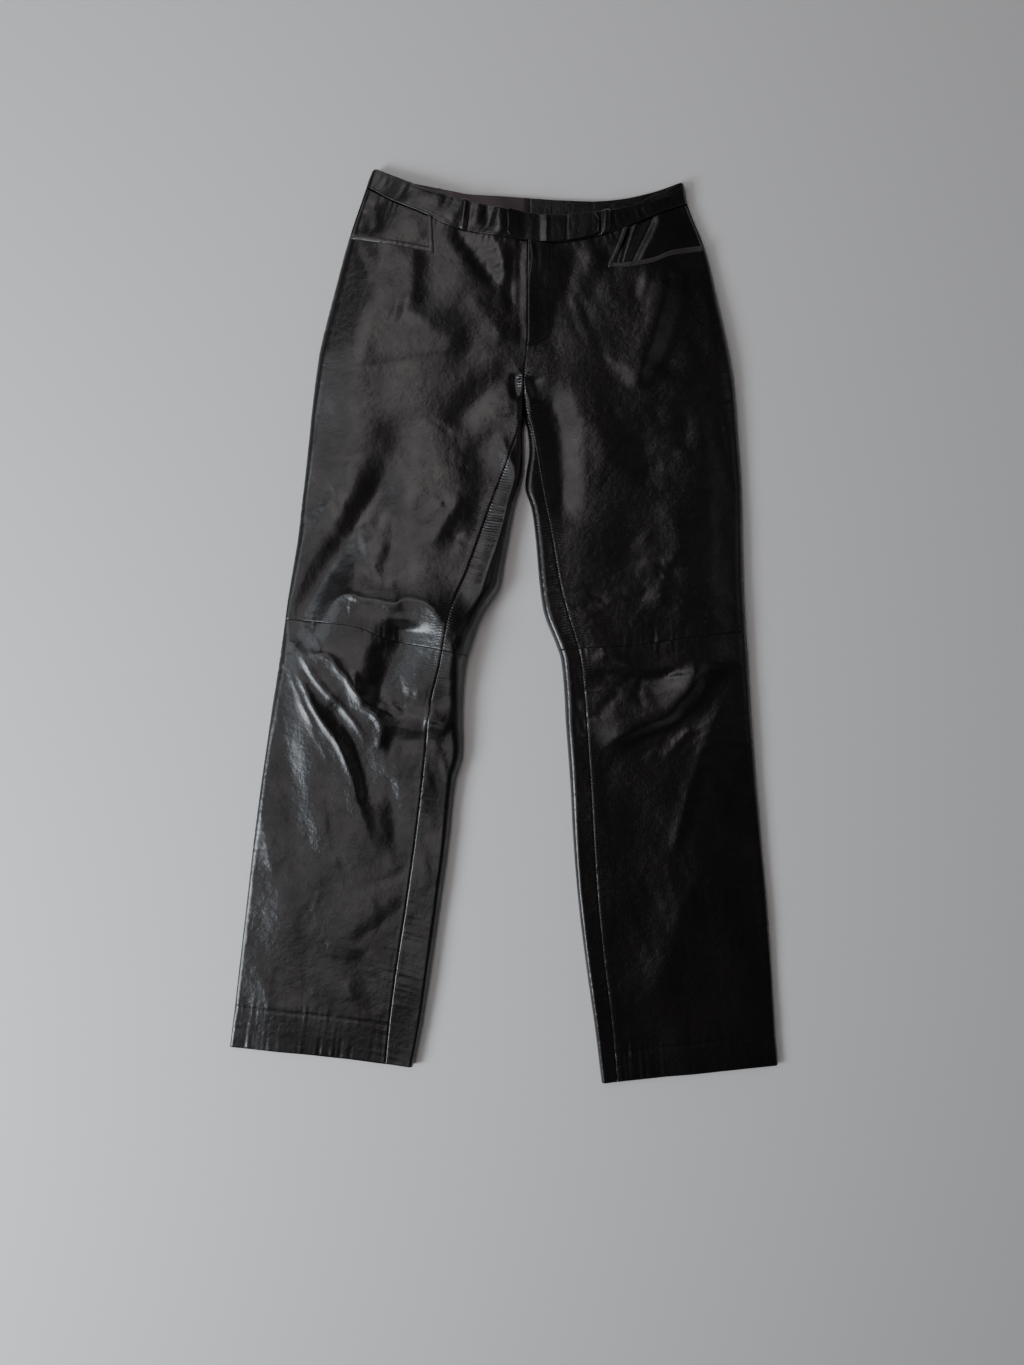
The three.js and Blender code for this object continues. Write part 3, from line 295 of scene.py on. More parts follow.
# %% Folds of the left leg, in the same columns
LEFT_FOLDS = [
    ([(86, 433), (73, 397), (63, 349)], 8, 8, -1.3),  # streak by the fly
    ([(103, 429), (88, 390), (75, 356)], 8, 8, 0.3),  # streak crest
    ([(123, 431), (113, 401), (96, 367)], 8, 8, -1.1),  # second streak
    ([(187, 417), (184, 378), (173, 335), (157, 292), (142, 269)], 26, 10, 4),  # hip crest
    ([(217, 438), (212, 372), (194, 318), (176, 280)], 14, 18, -3.6),  # hip valley
    ([(227, 413), (238, 347), (249, 287), (259, 228), (268, 146)], 9, 6, 2),  # hip outer crest
    ([(243, 283), (254, 228), (262, 180), (271, 143)], 2.2, 2.2, 0.5),  # hip thin line
    ([(167, 413), (162, 390), (155, 369)], 5, 5, 0.6),  # hip ray
    ([(20, 284), (23, 275), (25, 264)], 4, 3, 3.6),  # crotch bump
    ([(14, 271), (22, 270), (31, 272)], 1.4, 1.4, -0.8),  # crotch bump crease
    ([(34, 283), (36, 271), (37, 253)], 4, 5, -1.8),  # beyond the bump
    ([(71, 264), (94, 235), (112, 204), (112, 178), (101, 141)], 18, 14, 1.3),  # crotch crest
    ([(41, 278), (60, 232), (66, 175), (65, 114)], 12, 10, -4),  # crotch valley
    ([(123, 223), (167, 216), (217, 223)], 6, 6, -0.9),  # thigh blotch
    ([(204, 260), (210, 219), (203, 198)], 6, 6, -1.1),  # thigh blotch 2
    ([(153, 210), (169, 173), (167, 152)], 7, 7, -0.9),  # thigh blotch 3
    ([(178, 141), (201, 95), (192, 61)], 12, 10, 1.1),  # thigh lump
    ([(133, 141), (146, 95), (155, 61)], 10, 10, -0.9),  # thigh lump 2
    ([(210, 66), (212, 52), (210, 38)], 10, 10, 0.9),  # lump
    ([(231, 57), (236, 41), (240, 27)], 8, 9, 0.7),  # lump 2
    ([(196, 20), (204, 10), (210, 2)], 9, 9, 0.6),  # lump 3
    ([(155, 20), (162, 9), (167, -5)], 8, 9, 0.6),  # lump 4
    ([(233, 18), (244, 4), (260, -7)], 9, 9, 0.8),  # lump 5
    ([(224, 27), (220, 13), (228, -1)], 7, 7, -0.6),  # pit
    ([(260, 50), (266, 36), (263, 22)], 7, 7, -0.6),  # pit 2
    ([(114, 20), (123, 2), (117, -12)], 8, 8, -0.6),  # pit 3
    ([(71, 39), (123, 37), (153, 29), (169, 44)], 3, 3.5, -0.8),  # knee crease
    ([(98, -42), (120, -37), (144, -48), (174, -54), (212, -43)], 3.5, 6, 1.5),  # knee line
    ([(94, -58), (133, -62), (169, -64), (203, -54)], 6, 5, -3.4),  # under the line
    # tongue
    ([(212, -42), (218, -58), (212, -74), (199, -88), (187, -103), (162, -114), (133, -128),
      (110, -142)], 19, 8, 5.6),
    ([(161, -62), (153, -80), (161, -96)], 3, 3.5, -0.7),  # tongue wrinkle
    ([(135, -76), (119, -92), (107, -110)], 4, 4, -0.7),  # tongue wrinkle 2
    ([(272, -46), (242, -76), (222, -101), (192, -121), (144, -135)], 9, 14, -4),  # dark hollow
    # long crest
    ([(267, -55), (250, -94), (235, -126), (217, -174), (208, -207), (199, -242),
      (183, -288)], 6, 7, 1.3),
    ([(216, -119), (206, -128), (192, -140)], 4, 4, 0.9),  # patch
    ([(155, -179), (142, -270), (155, -361)], 18, 18, -1.2),  # shin swell
    ([(123, -156), (117, -190), (123, -236)], 6, 6, -0.6),  # shin line
    ([(212, -293), (192, -373), (167, -441)], 14, 12, 1.2),  # shin faint crest
    ([(267, -156), (276, -247), (283, -350)], 10, 10, -1),  # outer faint
]
FOLDS = {"r": RIGHT_FOLDS, "l": LEFT_FOLDS}
print("folds on the left leg", len(LEFT_FOLDS))

# %% [markdown]
# Two formulas turn those rows into height. The first follows a wandering line and has a crest
# sharper than its flanks, for the folds that catch the light. The second is a plain bell over a
# straight or bowed line, for small creases, of which there are many.

# %% The height of the folds at any place
# Roundness of a crest and of a trough, and the reach of a flank, all in flank widths
CREST_ROUND = 0.4
TROUGH_ROUND = 1.0
FLANK_REACH = 2.2
CREST_STEPS = 5


def crest_line(places):
    """Points along the smooth curve through the places, by cubic pieces in each coordinate."""
    knots = np.arange(len(places))
    at = np.linspace(0, len(places) - 1, (len(places) - 1) * CREST_STEPS + 1)
    return np.stack([smooth_curve(list(zip(knots, values)))(at) for values in zip(*places)], axis=1)


def crest_sum(rows, x, y):
    """Sum of the folds. With q the distance to the crest over the flank's width on that side, and
    v = (sqrt(q^2 + r^2) - r) / reach, the height is high (1 - v)^2, faded over a fifth of the run at
    each end. A trough is rounder than a crest. Only points near the line are worked out."""
    total = np.zeros(x.shape)
    for places, right, left, high in rows:
        line = crest_line(places)
        rounding = CREST_ROUND if high > 0 else TROUGH_ROUND
        reach = max(right, left) * (FLANK_REACH + 2 * rounding)
        low, top = line.min(axis=0) - reach, line.max(axis=0) + reach
        near = (x > low[0]) & (x < top[0]) & (y > low[1]) & (y < top[1])
        if not near.any():
            continue
        here = np.stack([x[near], y[near]], axis=1)
        start, run = line[:-1], np.diff(line, axis=0)
        length = np.linalg.norm(run, axis=1)
        gap = here[:, None] - start[None]
        along = np.clip((gap * run).sum(axis=2) / length ** 2, 0, 1)
        away = np.linalg.norm(gap - along[..., None] * run, axis=2)
        nearest = away.argmin(axis=1)
        point = np.arange(len(here))
        side = run[nearest, 0] * gap[point, nearest, 1] - run[nearest, 1] * gap[point, nearest, 0]
        q = away[point, nearest] / np.where(side > 0, left, right)
        v = np.clip((np.sqrt(q * q + rounding ** 2) - rounding) / FLANK_REACH, 0, 1)
        t = (nearest + along[point, nearest]) / len(run)
        fade = smoothstep(np.minimum(t, 1 - t), -0.02, 0.2)
        total[near] += high * fade * (1 - v) ** 2
    return total


def fold_sum(rows, x, y):
    """Sum of straight soft folds, rows of (x, y, x, y, bow, width, height): high times a bell across
    the fold, exp(-(across / width)^2 / 2), faded over the first and last quarter of its length. Across
    is measured from a line bowed as a parabola."""
    total = np.zeros(np.broadcast(x, y).shape)
    for x0, y0, x1, y1, bow, width, high in rows:
        run_x, run_y = x1 - x0, y1 - y0
        length = math.hypot(run_x, run_y)
        along = ((x - x0) * run_x + (y - y0) * run_y) / length ** 2
        across = ((y - y0) * run_x - (x - x0) * run_y) / length - bow * 4 * along * (1 - along)
        fade = smoothstep(np.minimum(along, 1 - along), 0, 0.25)
        total += high * fade * np.exp(-0.5 * (across / width) ** 2)
    return total


knee_bulge = crest_sum(FOLDS["r"], np.array([-110.0]), np.array([25.0]))[0]
print("folds lift the right knee", round(float(knee_bulge), 1), "mm")

# %% [markdown]
# Worn nappa also takes bunches of short creases where it bends. Their exact places don't matter,
# but their direction and crowding do, so each bunch is drawn at random inside an oval, from a
# seed that never changes.

# %% Bunches of short creases: middle, spread in x and y, angle, turn, length, width, height, count
BUNCHES = {
    "r": [
        (-136, -104, 34, 14, -20, 10, 44, 2.0, -0.48, 12),
        (-205, -80, 30, 50, -56, 8, 60, 2.6, 0.36, 12), (-120, -75, 20, 20, -70, 25, 30, 2.4, -0.36, 7),
        (-180, 110, 50, 60, -58, 14, 80, 4.0, 0.27, 10), (-150, 60, 40, 40, -75, 14, 50, 4.0, -0.36, 8),
        (-110, -250, 60, 110, -78, 12, 70, 4.5, 0.27, 14),
        (-60, 150, 16, 70, -20, 20, 26, 2.4, -0.3, 12), (-80, -160, 16, 50, -84, 10, 40, 3.0, 0.36, 8),
        (-120, 20, 40, 10, -4, 8, 40, 2.6, -0.3, 7), (-230, -330, 30, 90, -84, 10, 60, 4.0, -0.3, 8),
    ],
    "l": [
        (190, 40, 60, 50, 60, 60, 30, 5.0, 0.36, 12), (190, 60, 60, 50, 20, 60, 30, 4.5, -0.32, 10),
        (150, 200, 60, 50, -50, 60, 40, 5.0, -0.42, 12), (110, -80, 30, 26, 30, 16, 30, 2.6, -0.3, 8),
        (90, 20, 26, 40, -8, 18, 30, 2.6, -0.36, 9), (190, -140, 50, 30, 28, 14, 40, 3.6, 0.36, 9),
        (200, -300, 60, 120, -72, 12, 70, 5.0, 0.24, 10), (90, -90, 12, 60, -80, 20, 24, 2.4, -0.3, 9),
        (110, 350, 50, 60, -66, 14, 60, 4.5, -0.36, 9), (235, 200, 16, 90, -80, 8, 80, 5, 0.3, 6),
    ],
}


def bunch_folds(rows, seed):
    """Fold rows drawn from bunches: middles from a bell about (x, y), directions within turn
    degrees of angle, lengths and heights from half to one and a half times those given."""
    draw = np.random.default_rng(seed)
    folds = []
    for x, y, spread_x, spread_y, angle, turn, length, width, high, count in rows:
        for _ in range(count):
            mid_x, mid_y = x + spread_x * draw.normal(0, 0.6), y + spread_y * draw.normal(0, 0.6)
            heading = math.radians(angle + turn * draw.uniform(-1, 1))
            half = length * draw.uniform(0.5, 1.5) / 2
            reach_x, reach_y = half * math.cos(heading), half * math.sin(heading)
            folds.append((mid_x - reach_x, mid_y - reach_y, mid_x + reach_x, mid_y + reach_y,
                          draw.uniform(-0.08, 0.08) * length, width * draw.uniform(0.7, 1.3),
                          high * draw.uniform(0.5, 1.5)))
    return folds


def slow_swells(x, y):
    """Unevenness of soft leather that has no edge anywhere: crossed sine waves 54 to 110 mm long,
    bent by slower ones, about a millimetre high where they meet."""
    across = np.sin(x / 15 + 1.2 * np.sin(y / 37) + 0.5)
    down = np.sin(y / 17.5 + 1.4 * np.sin(x / 43) + 0.9)
    slant = np.sin((x + 0.8 * y) / 11 + 1.1 * np.sin((y - x) / 31))
    return 0.45 * across + 0.42 * down + 0.2 * slant


CREASES = {"r": bunch_folds(BUNCHES["r"], 11), "l": bunch_folds(BUNCHES["l"], 12)}
print("short creases", {side: len(CREASES[side]) for side in "rl"})


# %% [markdown]
# The skin of a leg, as a height over the floor. From a folded edge the leather turns over in a
# quarter ellipse and then swells slowly. Where the legs part, the same turn happens at the inner
# fold, and above the crotch it fades away, which leaves the valley that the centre seam dips into.
# One height for every place is enough, because the front of a garment that lies flat never
# overhangs.

# %% A leg and its curves
class Leg:
    """One leg's curves, by name, with the direction that points in from its outer fold."""

    def __init__(self, side):
        self.side = side
        self.inward = 1 if side == "r" else -1
        for name in LEG_COLUMNS[1:]:
            setattr(self, name, column(LEG_ROWS[side], LEG_COLUMNS, "y", name))
        for name, knots in CROSS_LINES[side].items():
            setattr(self, name, smooth_curve(knots))

    def relief(self, x, y):
        """Folds and creases over the even swell of the leg, in millimetres."""
        return crest_sum(FOLDS[self.side], x, y) + fold_sum(CREASES[self.side], x, y) + slow_swells(x, y)


LEGS = {side: Leg(side) for side in "rl"}
for side, leg in LEGS.items():
    print("leg", side, "is", round(abs(float(leg.inner(0) - leg.outer(0)))), "mm wide at the knee")

# %% The height of the leather over the floor
# Share of the loft that the inner fold's turn takes, and how high and how far the inseam props it
INNER_TURN_SHARE = 0.84
SEAM_PROP = 4.6
SEAM_PROP_REACH = 24.0
SEAM_PROP_LEVEL = 0.35


def edge_rise(distance, loft, turn_share):
    """Share of the loft reached at a distance from a folded edge: turn_share of it by a quarter
    ellipse sqrt(1 - (1 - d / width)^2), and the rest by a smoothstep over SWELL_WIDTH."""
    turn = np.clip(1 - distance / (TURN_LEAN * TURN_SHARE * (loft - EDGE_ROUND)), 0, 1)
    return turn_share * np.sqrt(1 - turn * turn) + (1 - turn_share) * smoothstep(distance, 0, SWELL_WIDTH)


def top_height(leg, x, y):
    """Height of the leather's outer face: the round underside's radius, plus the loft times the
    rise from the outer fold and, where the legs have parted, from the inner fold. The thick inseam
    props up the inner side, so the leather falls a little from there to the middle of the leg."""
    from_outer = np.maximum((x - leg.outer(y)) * leg.inward, 0)
    from_inner = np.maximum((leg.inner(y) - x) * leg.inward, 0)
    share = from_outer / np.maximum(from_outer + from_inner, 1e-6)
    parted = 1 - smoothstep(y, CROTCH_Y - PARTING_RUN, VALLEY_Y)
    loft = lerp(leg.out_loft(y), leg.in_loft(y), share) - EDGE_ROUND + leg.relief(x, y)
    loft = loft + SEAM_PROP * parted * (np.exp(-from_inner / SEAM_PROP_REACH) - SEAM_PROP_LEVEL)
    inner_rise = 1 - parted * (1 - edge_rise(from_inner, leg.in_loft(y), INNER_TURN_SHARE))
    rise = edge_rise(from_outer, leg.out_loft(y), TURN_SHARE) * inner_rise
    return EDGE_ROUND + SEAM_GAP / 2 + np.maximum(loft, LEAST_LOFT) * rise


def bottom_height(x, y):
    """The underside lies on the floor and lifts over the belt loops towards the waist."""
    seam = WAIST["back_seam"](x)
    return BAND_LIFT * smoothstep(y, seam - BAND_LIFT_RUN, seam - 4)


knee_top = top_height(LEGS["r"], np.array([-110.0]), np.array([25.0]))[0]
print("the right knee stands", round(float(knee_top), 1), "mm over the floor")

# %% [markdown]
# A panel is a grid. Its rows are lines that cross the leg, which lean with the waist seam, the
# pocket mouth, the knee seam and the hem. A place along the leg is a number: on a thigh it runs
# from 0 at the waist through 1 at the pocket mouth and 2 at the crotch to 3 at the knee, and on
# a shin or a waistband from 0 to 1.

# %% Rows across the leg and points of the front skin
# X of each pocket's corner at the mouth and at the waist seam, and the share of the front there
POCKETS = {"r": (-83.4, -79.9), "l": (122.5, 135.1)}
POCKET_SHARE = 0.44


def row_y(leg, part, place, x):
    """Y of a row at x: straight between the two lines on either side of it."""
    if part == "shin":
        return lerp(leg.knee(x) - SEAM_GAP / 2, leg.hem(x), place)
    if part == "band":
        return lerp(WAIST["front_seam"](x) + WAIST_GAP / 2, WAIST["front_top"](x), place)
    lines = (WAIST["front_seam"](x) - WAIST_GAP / 2, leg.pocket(x), leg.crotch(x), leg.knee(x) + SEAM_GAP / 2)
    level = np.clip(np.floor(place), 0, 2)
    upper = np.select([level == 0, level == 1], [lines[0], lines[1]], lines[2])
    lower = np.select([level == 0, level == 1], [lines[1], lines[2]], lines[3])
    return lerp(upper, lower, place - level)


def meet(leg, part, place, border):
    """X where a row meets a border x = border(y), found by six turns of substitution."""
    x = np.full(np.shape(place), float(leg.outer(0) + leg.inner(0)) / 2)
    for _ in range(6):
        x = border(row_y(leg, part, place, x))
    return x


def lean(leg, part, share, place, outer_x, inner_x):
    """Shares moved so that POCKET_SHARE runs along the pocket's upright edge at the top."""
    if part == "shin":
        return share
    corner_x, top_x = POCKETS[leg.side]
    level = np.zeros(np.shape(place)) if part == "band" else np.clip(place, 0, 1)
    wanted = (lerp(top_x, corner_x, level) - outer_x) / (inner_x - outer_x)
    ease = 1.0 if part == "band" else 1 - smoothstep(place, 1, 2)
    leaned = np.where(share < POCKET_SHARE, share * wanted / POCKET_SHARE,
                      1 - (1 - share) * (1 - wanted) / (1 - POCKET_SHARE))
    return lerp(share, leaned, ease)


def front_point(leg, part, share, place):
    """Front skin: x runs from the outer fold to the seam by share, y is the row's, z the height."""
    def border(y):
        return leg.seam(y) - leg.inward * SEAM_GAP / 2

    outer_x, inner_x = meet(leg, part, place, leg.outer), meet(leg, part, place, border)
    share = lean(leg, part, share, place, outer_x, inner_x)
    y = row_y(leg, part, place, lerp(outer_x, inner_x, share))
    x = lerp(leg.outer(y), border(y), share)
    return np.stack([x, y, top_height(leg, x, y)], axis=-1)


pocket_corner = front_point(LEGS["r"], "thigh", np.array([POCKET_SHARE]), np.array([1.0]))[0]
print("corner of the right pocket", np.round(pocket_corner, 1))

# %% [markdown]
# The back panel is wider than the front. It starts at the outseam, goes round the outer fold,
# lies flat on the floor, comes up round the inner fold and ends at the inseam on the front side.
# Its share across the panel is cut into those four stretches. Above the crotch the last two are
# missing, and the panel ends at the centre-back seam underneath.

# %% Points of the back skin
# Shares where the outer round, the flat underside and the inner round end
ROUND_END = 0.06
FLAT_END = 0.80
INNER_END = 0.86


def back_row_y(leg, part, x, place):
    """Y of a back row at x: the front's row, moved by how far the back waist lies from the front's."""
    y = row_y(leg, part, place, x)
    if part == "band":
        return lerp(WAIST["back_seam"](x) + WAIST_GAP / 2, WAIST["back_top"](x), place)
    if part == "thigh":
        y = y + (WAIST["back_seam"](x) - WAIST["front_seam"](x)) * np.maximum(0, 1 - place / 2)
    return y


def under_creases(leg, x, y):
    """Soft hollows of the leather that lies on the floor, as lifts of about a millimetre: crossed
    waves and the troughs of the front's creases, turned over and moved."""
    waves = np.sin(x / 17 + 1.3 * np.sin(y / 41)) * np.sin(y / 29 + 0.8 * np.sin(x / 23))
    troughs = -fold_sum(CREASES[leg.side], -x + 60 * leg.inward, y + 12)
    return 0.6 * np.maximum(waves, 0) + np.maximum(troughs, 0)


def back_point(leg, part, share, place):
    """Back skin: a quarter circle, a flat, a quarter circle and the strip over the inner fold."""
    edge = EDGE_ROUND - SEAM_GAP / 2
    has_strip = (place > 1.99) if part == "thigh" else np.full(np.shape(place), part == "shin")
    outer_x, inner_x = meet(leg, part, place, leg.outer), meet(leg, part, place, leg.inner)

    flat = np.clip((share - ROUND_END) / (FLAT_END - ROUND_END), 0, 1)
    y = back_row_y(leg, part, lerp(outer_x, inner_x, flat), place)
    low = bottom_height(lerp(leg.outer(y), leg.inner(y), flat), y)
    inset = np.where(has_strip, EDGE_ROUND, SEAM_GAP / 2)
    start = leg.outer(y) + leg.inward * EDGE_ROUND
    x = lerp(start, leg.inner(y) - leg.inward * inset, flat)
    drop = HEM_DROP * np.sin(math.pi * flat) * place ** 2 if part == "shin" else 0
    calm = smoothstep(flat, 0, 0.12) * smoothstep(flat, 1, 0.88)
    flat_point = np.stack([x, y - drop, low + calm * under_creases(leg, x, y)], axis=-1)

    turn = np.clip(share / ROUND_END, 0, 1) * math.pi / 2
    round_x = leg.outer(y) + leg.inward * EDGE_ROUND * (1 - np.cos(turn))
    round_point = np.stack([round_x, y, edge - (edge - low) * np.sin(turn)], axis=-1)

    turn = (1 - np.clip((share - FLAT_END) / (INNER_END - FLAT_END), 0, 1)) * math.pi / 2
    y = row_y(leg, part, place, inner_x)
    inner_round = np.stack([leg.inner(y) - leg.inward * EDGE_ROUND * (1 - np.cos(turn)), y,
                            edge - edge * np.sin(turn)], axis=-1)

    def border(at):
        return leg.seam(at) + leg.inward * SEAM_GAP / 2

    over = np.clip((share - INNER_END) / (1 - INNER_END), 0, 1) ** 1.6
    border_x = meet(leg, part, place, border)
    y = row_y(leg, part, place, lerp(inner_x, border_x, over))
    x = lerp(leg.inner(y), border(y), over)
    strip = np.stack([x, y, top_height(leg, x, y)], axis=-1)

    past_flat = share > FLAT_END
    shape = (share < ROUND_END, past_flat & (share > INNER_END), past_flat)
    return np.select([mask[..., None] for mask in shape], [round_point, strip, inner_round], flat_point)


seat = back_point(LEGS["r"], "thigh", np.array([0.4]), np.array([1.0]))[0]
print("middle of the right seat", np.round(seat, 1))

# %% [markdown]
# A sheet is the grid of a skin with its outward directions and the distances, measured over the
# leather, from its four borders. The distances place what a sewing machine leaves behind: the
# rolled edge at a seam, the ridge of the turned allowance, the stitch groove and the puckers.

# %% Sheets: grids with directions and distances
class Sheet:
    """Points, outward directions and border distances of a skin over shares by places."""

    def __init__(self, skin, shares, places, outward):
        self.share, self.place = np.meshgrid(np.asarray(shares, float), np.asarray(places, float))
        self.outward = outward
        self.points = skin(self.share, self.place)
        self.face()
        steps = np.linalg.norm(np.diff(self.points, axis=1), axis=-1)
        self.from_start = np.pad(np.cumsum(steps, axis=1), ((0, 0), (1, 0)))
        self.from_end = self.from_start[:, -1:] - self.from_start
        steps = np.linalg.norm(np.diff(self.points, axis=0), axis=-1)
        self.from_top = np.pad(np.cumsum(steps, axis=0), ((1, 0), (0, 0)))
        self.from_foot = self.from_top[-1:] - self.from_top

    def face(self):
        """Outward directions: the cross product of the steps across and down the grid."""
        across, down = np.gradient(self.points, axis=1), np.gradient(self.points, axis=0)
        normal = np.cross(across, down) * self.outward
        self.normals = normal / np.maximum(np.linalg.norm(normal, axis=-1, keepdims=True), 1e-9)

    def push(self, height):
        """Moves the skin out by a height in millimetres."""
        self.points = self.points + self.normals * np.asarray(height)[..., None]
        self.face()

    def line(self, distances, wanted):
        """Point and direction on every row, or every column, where the distance is the wanted one."""
        rows = distances.shape[0] if distances is self.from_start or distances is self.from_end else None
        grid, points, normals = distances, self.points, self.normals
        if rows is None:
            grid, points, normals = grid.T, points.transpose(1, 0, 2), normals.transpose(1, 0, 2)
        if grid[0, -1] < grid[0, 0]:
            grid, points, normals = grid[:, ::-1], points[:, ::-1], normals[:, ::-1]
        lines = np.arange(len(grid))
        i = np.clip((grid < wanted).sum(axis=1), 1, grid.shape[1] - 1)
        t = np.clip((wanted - grid[lines, i - 1]) / (grid[lines, i] - grid[lines, i - 1]), 0, 1)[:, None]
        point = lerp(points[lines, i - 1], points[lines, i], t)
        return point, lerp(normals[lines, i - 1], normals[lines, i], t)


def sewn_spread(low, high, count, near_low=(), near_high=()):
    """Even steps from low to high, with extra grid lines at shares of it near both ends."""
    even = np.linspace(0, 1, count + 1)
    inside = even[(even > max((0, *near_low)) * 1.15) & (even < 1 - max((0, *near_high)) * 1.15)]
    marks = np.unique(np.concatenate([[0, 1], near_low, inside, 1 - np.asarray(near_high, float)]))
    return low + (high - low) * marks


print("grid lines crowd at a seam", np.round(sewn_spread(0, 1, 4, (0.02, 0.05), (0.03,)), 3))

# %% [markdown]
# What sewing does to leather. At a seam both edges roll under. On the stitched side the turned
# allowance makes a low ridge, and the row of stitches pulls a groove into it. The thread also
# gathers the leather a little, so short puckers run away from the seam and die out.

# %% Seam relief
STITCH_INSET = 4.6
ROLL_WIDTH = 1.3
ROLL_DEPTH = 0.32


def seam_roll(distance, width=ROLL_WIDTH, depth=ROLL_DEPTH):
    """Quarter ellipse down to a depth at the very edge."""
    t = 1 - np.clip(distance / width, 0, 1)
    return -depth * (1 - np.sqrt(1 - t * t))


def seam_ridge(distance, inset=STITCH_INSET, high=0.2):
    """Ridge of the turned allowance, out to the stitches, with their groove."""
    ridge = high * smoothstep(distance, 0.4, 1.8) * (1 - smoothstep(distance, inset + 0.4, inset + 2.6))
    return ridge - 0.3 * np.exp(-((distance - inset) / 0.75) ** 2)


def puckers(distance, along, seed, high=0.35, reach=9.0):
    """Short waves across the seam: sines of four lengths with drawn phases, cut to uneven strength,
    fading as exp(-distance / reach)."""
    draw = np.random.default_rng(seed)
    waves = sum(np.sin(2 * math.pi * along / length + draw.uniform(0, 6.3))
                for length in (6.1, 8.7, 12.4, 19.0))
    strength = np.sin(along / 23 + draw.uniform(0, 6.3)) * np.sin(along / 57 + draw.uniform(0, 6.3))
    strength = 0.25 + 1.2 * np.clip(strength, 0, 1)
    return high * waves / 2.2 * strength * np.exp(-distance / reach) * smoothstep(distance, 0, 1.5)


print("the turned allowance stands", round(float(seam_ridge(2.5)), 2), "mm proud")

# %% [markdown]
# Shader maths reads best as arithmetic. Wiring Math nodes one by one hides what they work out, so
# this small class wraps a node's output socket, and an expression such as 1 - mask * 0.4 adds the
# Math nodes by itself.

# %% Node sockets as numbers
class Socket:
    """A shader socket that adds Math nodes when it is used in an expression."""

    def __init__(self, tree, socket):
        self.tree, self.socket = tree, socket

    def maths(self, operation, *values):
        """A Math node over the values."""
        return self.tree.node("ShaderNodeMath", {"operation": operation}, *values)

    def __add__(self, other):
        return self.maths("ADD", self, other)

    def __radd__(self, other):
        return self.maths("ADD", other, self)

    def __sub__(self, other):
        return self.maths("SUBTRACT", self, other)

    def __rsub__(self, other):
        return self.maths("SUBTRACT", other, self)

    def __mul__(self, other):
        return self.maths("MULTIPLY", self, other)

    def __rmul__(self, other):
        return self.maths("MULTIPLY", other, self)


class Finish:
    """A material, or a world, with one method that adds any node."""

    def __init__(self, name, kind=bpy.data.materials, shader="Principled BSDF"):
        self.block = kind.new(name)
        self.block.use_nodes = True
        self.nodes, self.links = self.block.node_tree.nodes, self.block.node_tree.links
        self.shader = self.nodes[shader]

    def node(self, kind, settings=None, *values, out=0, **named):
        """Adds a node: settings first, then values or links by order or by socket name."""
        node = self.nodes.new(kind)
        for name, value in (settings or {}).items():
            setattr(node, name, value)
        for key, value in (*enumerate(values), *named.items()):
            socket = node.inputs[key if isinstance(key, int) else key.replace("_", " ")]
            self.join(value, socket)
        return Socket(self, node.outputs[out])

    def join(self, value, socket):
        """Links a socket, or sets a constant on the node's own input."""
        if isinstance(value, Socket):
            self.links.new(value.socket, socket)
        else:
            socket.default_value = value

    def ramp(self, factor, stops):
        """Values between stops of (place, grey)."""
        node = self.nodes.new("ShaderNodeValToRGB")
        while len(node.color_ramp.elements) < len(stops):
            node.color_ramp.elements.new(1)
        for element, (place, grey) in zip(node.color_ramp.elements, stops):
            element.position, element.color = place, (grey, grey, grey, 1)
        self.join(factor, node.inputs[0])
        return Socket(self, node.outputs[0])

    def blend(self, factor, first, second):
        """Colour mix, kept in colour."""
        node = self.nodes.new("ShaderNodeMix")
        node.data_type = "RGBA"
        for value, place in ((factor, 0), (first, 6), (second, 7)):
            self.join(value, node.inputs[place])
        return Socket(self, node.outputs[2])

    def feed(self, **sockets):
        """Feeds the shader's inputs by name."""
        for name, value in sockets.items():
            self.join(value, self.shader.inputs[name.replace("_", " ")])


# %% [markdown]
# Black nappa is a smooth grain leather with a soft gloss. Up close it has a net of tiny pores and
# cells a millimetre across. Further off, its surface is faintly lumpy, which breaks a highlight
# into flecks, and its polish varies: rubbed places shine and others stay duller. Along a seam the
# thread draws it into a comb of fine ripples. All of that is finer than a mesh should be, so it is
# made of bumps in the shader, from the finest to the broadest. The comb reads two numbers that
# each piece carries: the place along its seam, and how strongly the seam draws it in there.

# %% The leather finish
COAT_ROUGHNESS = 0.24


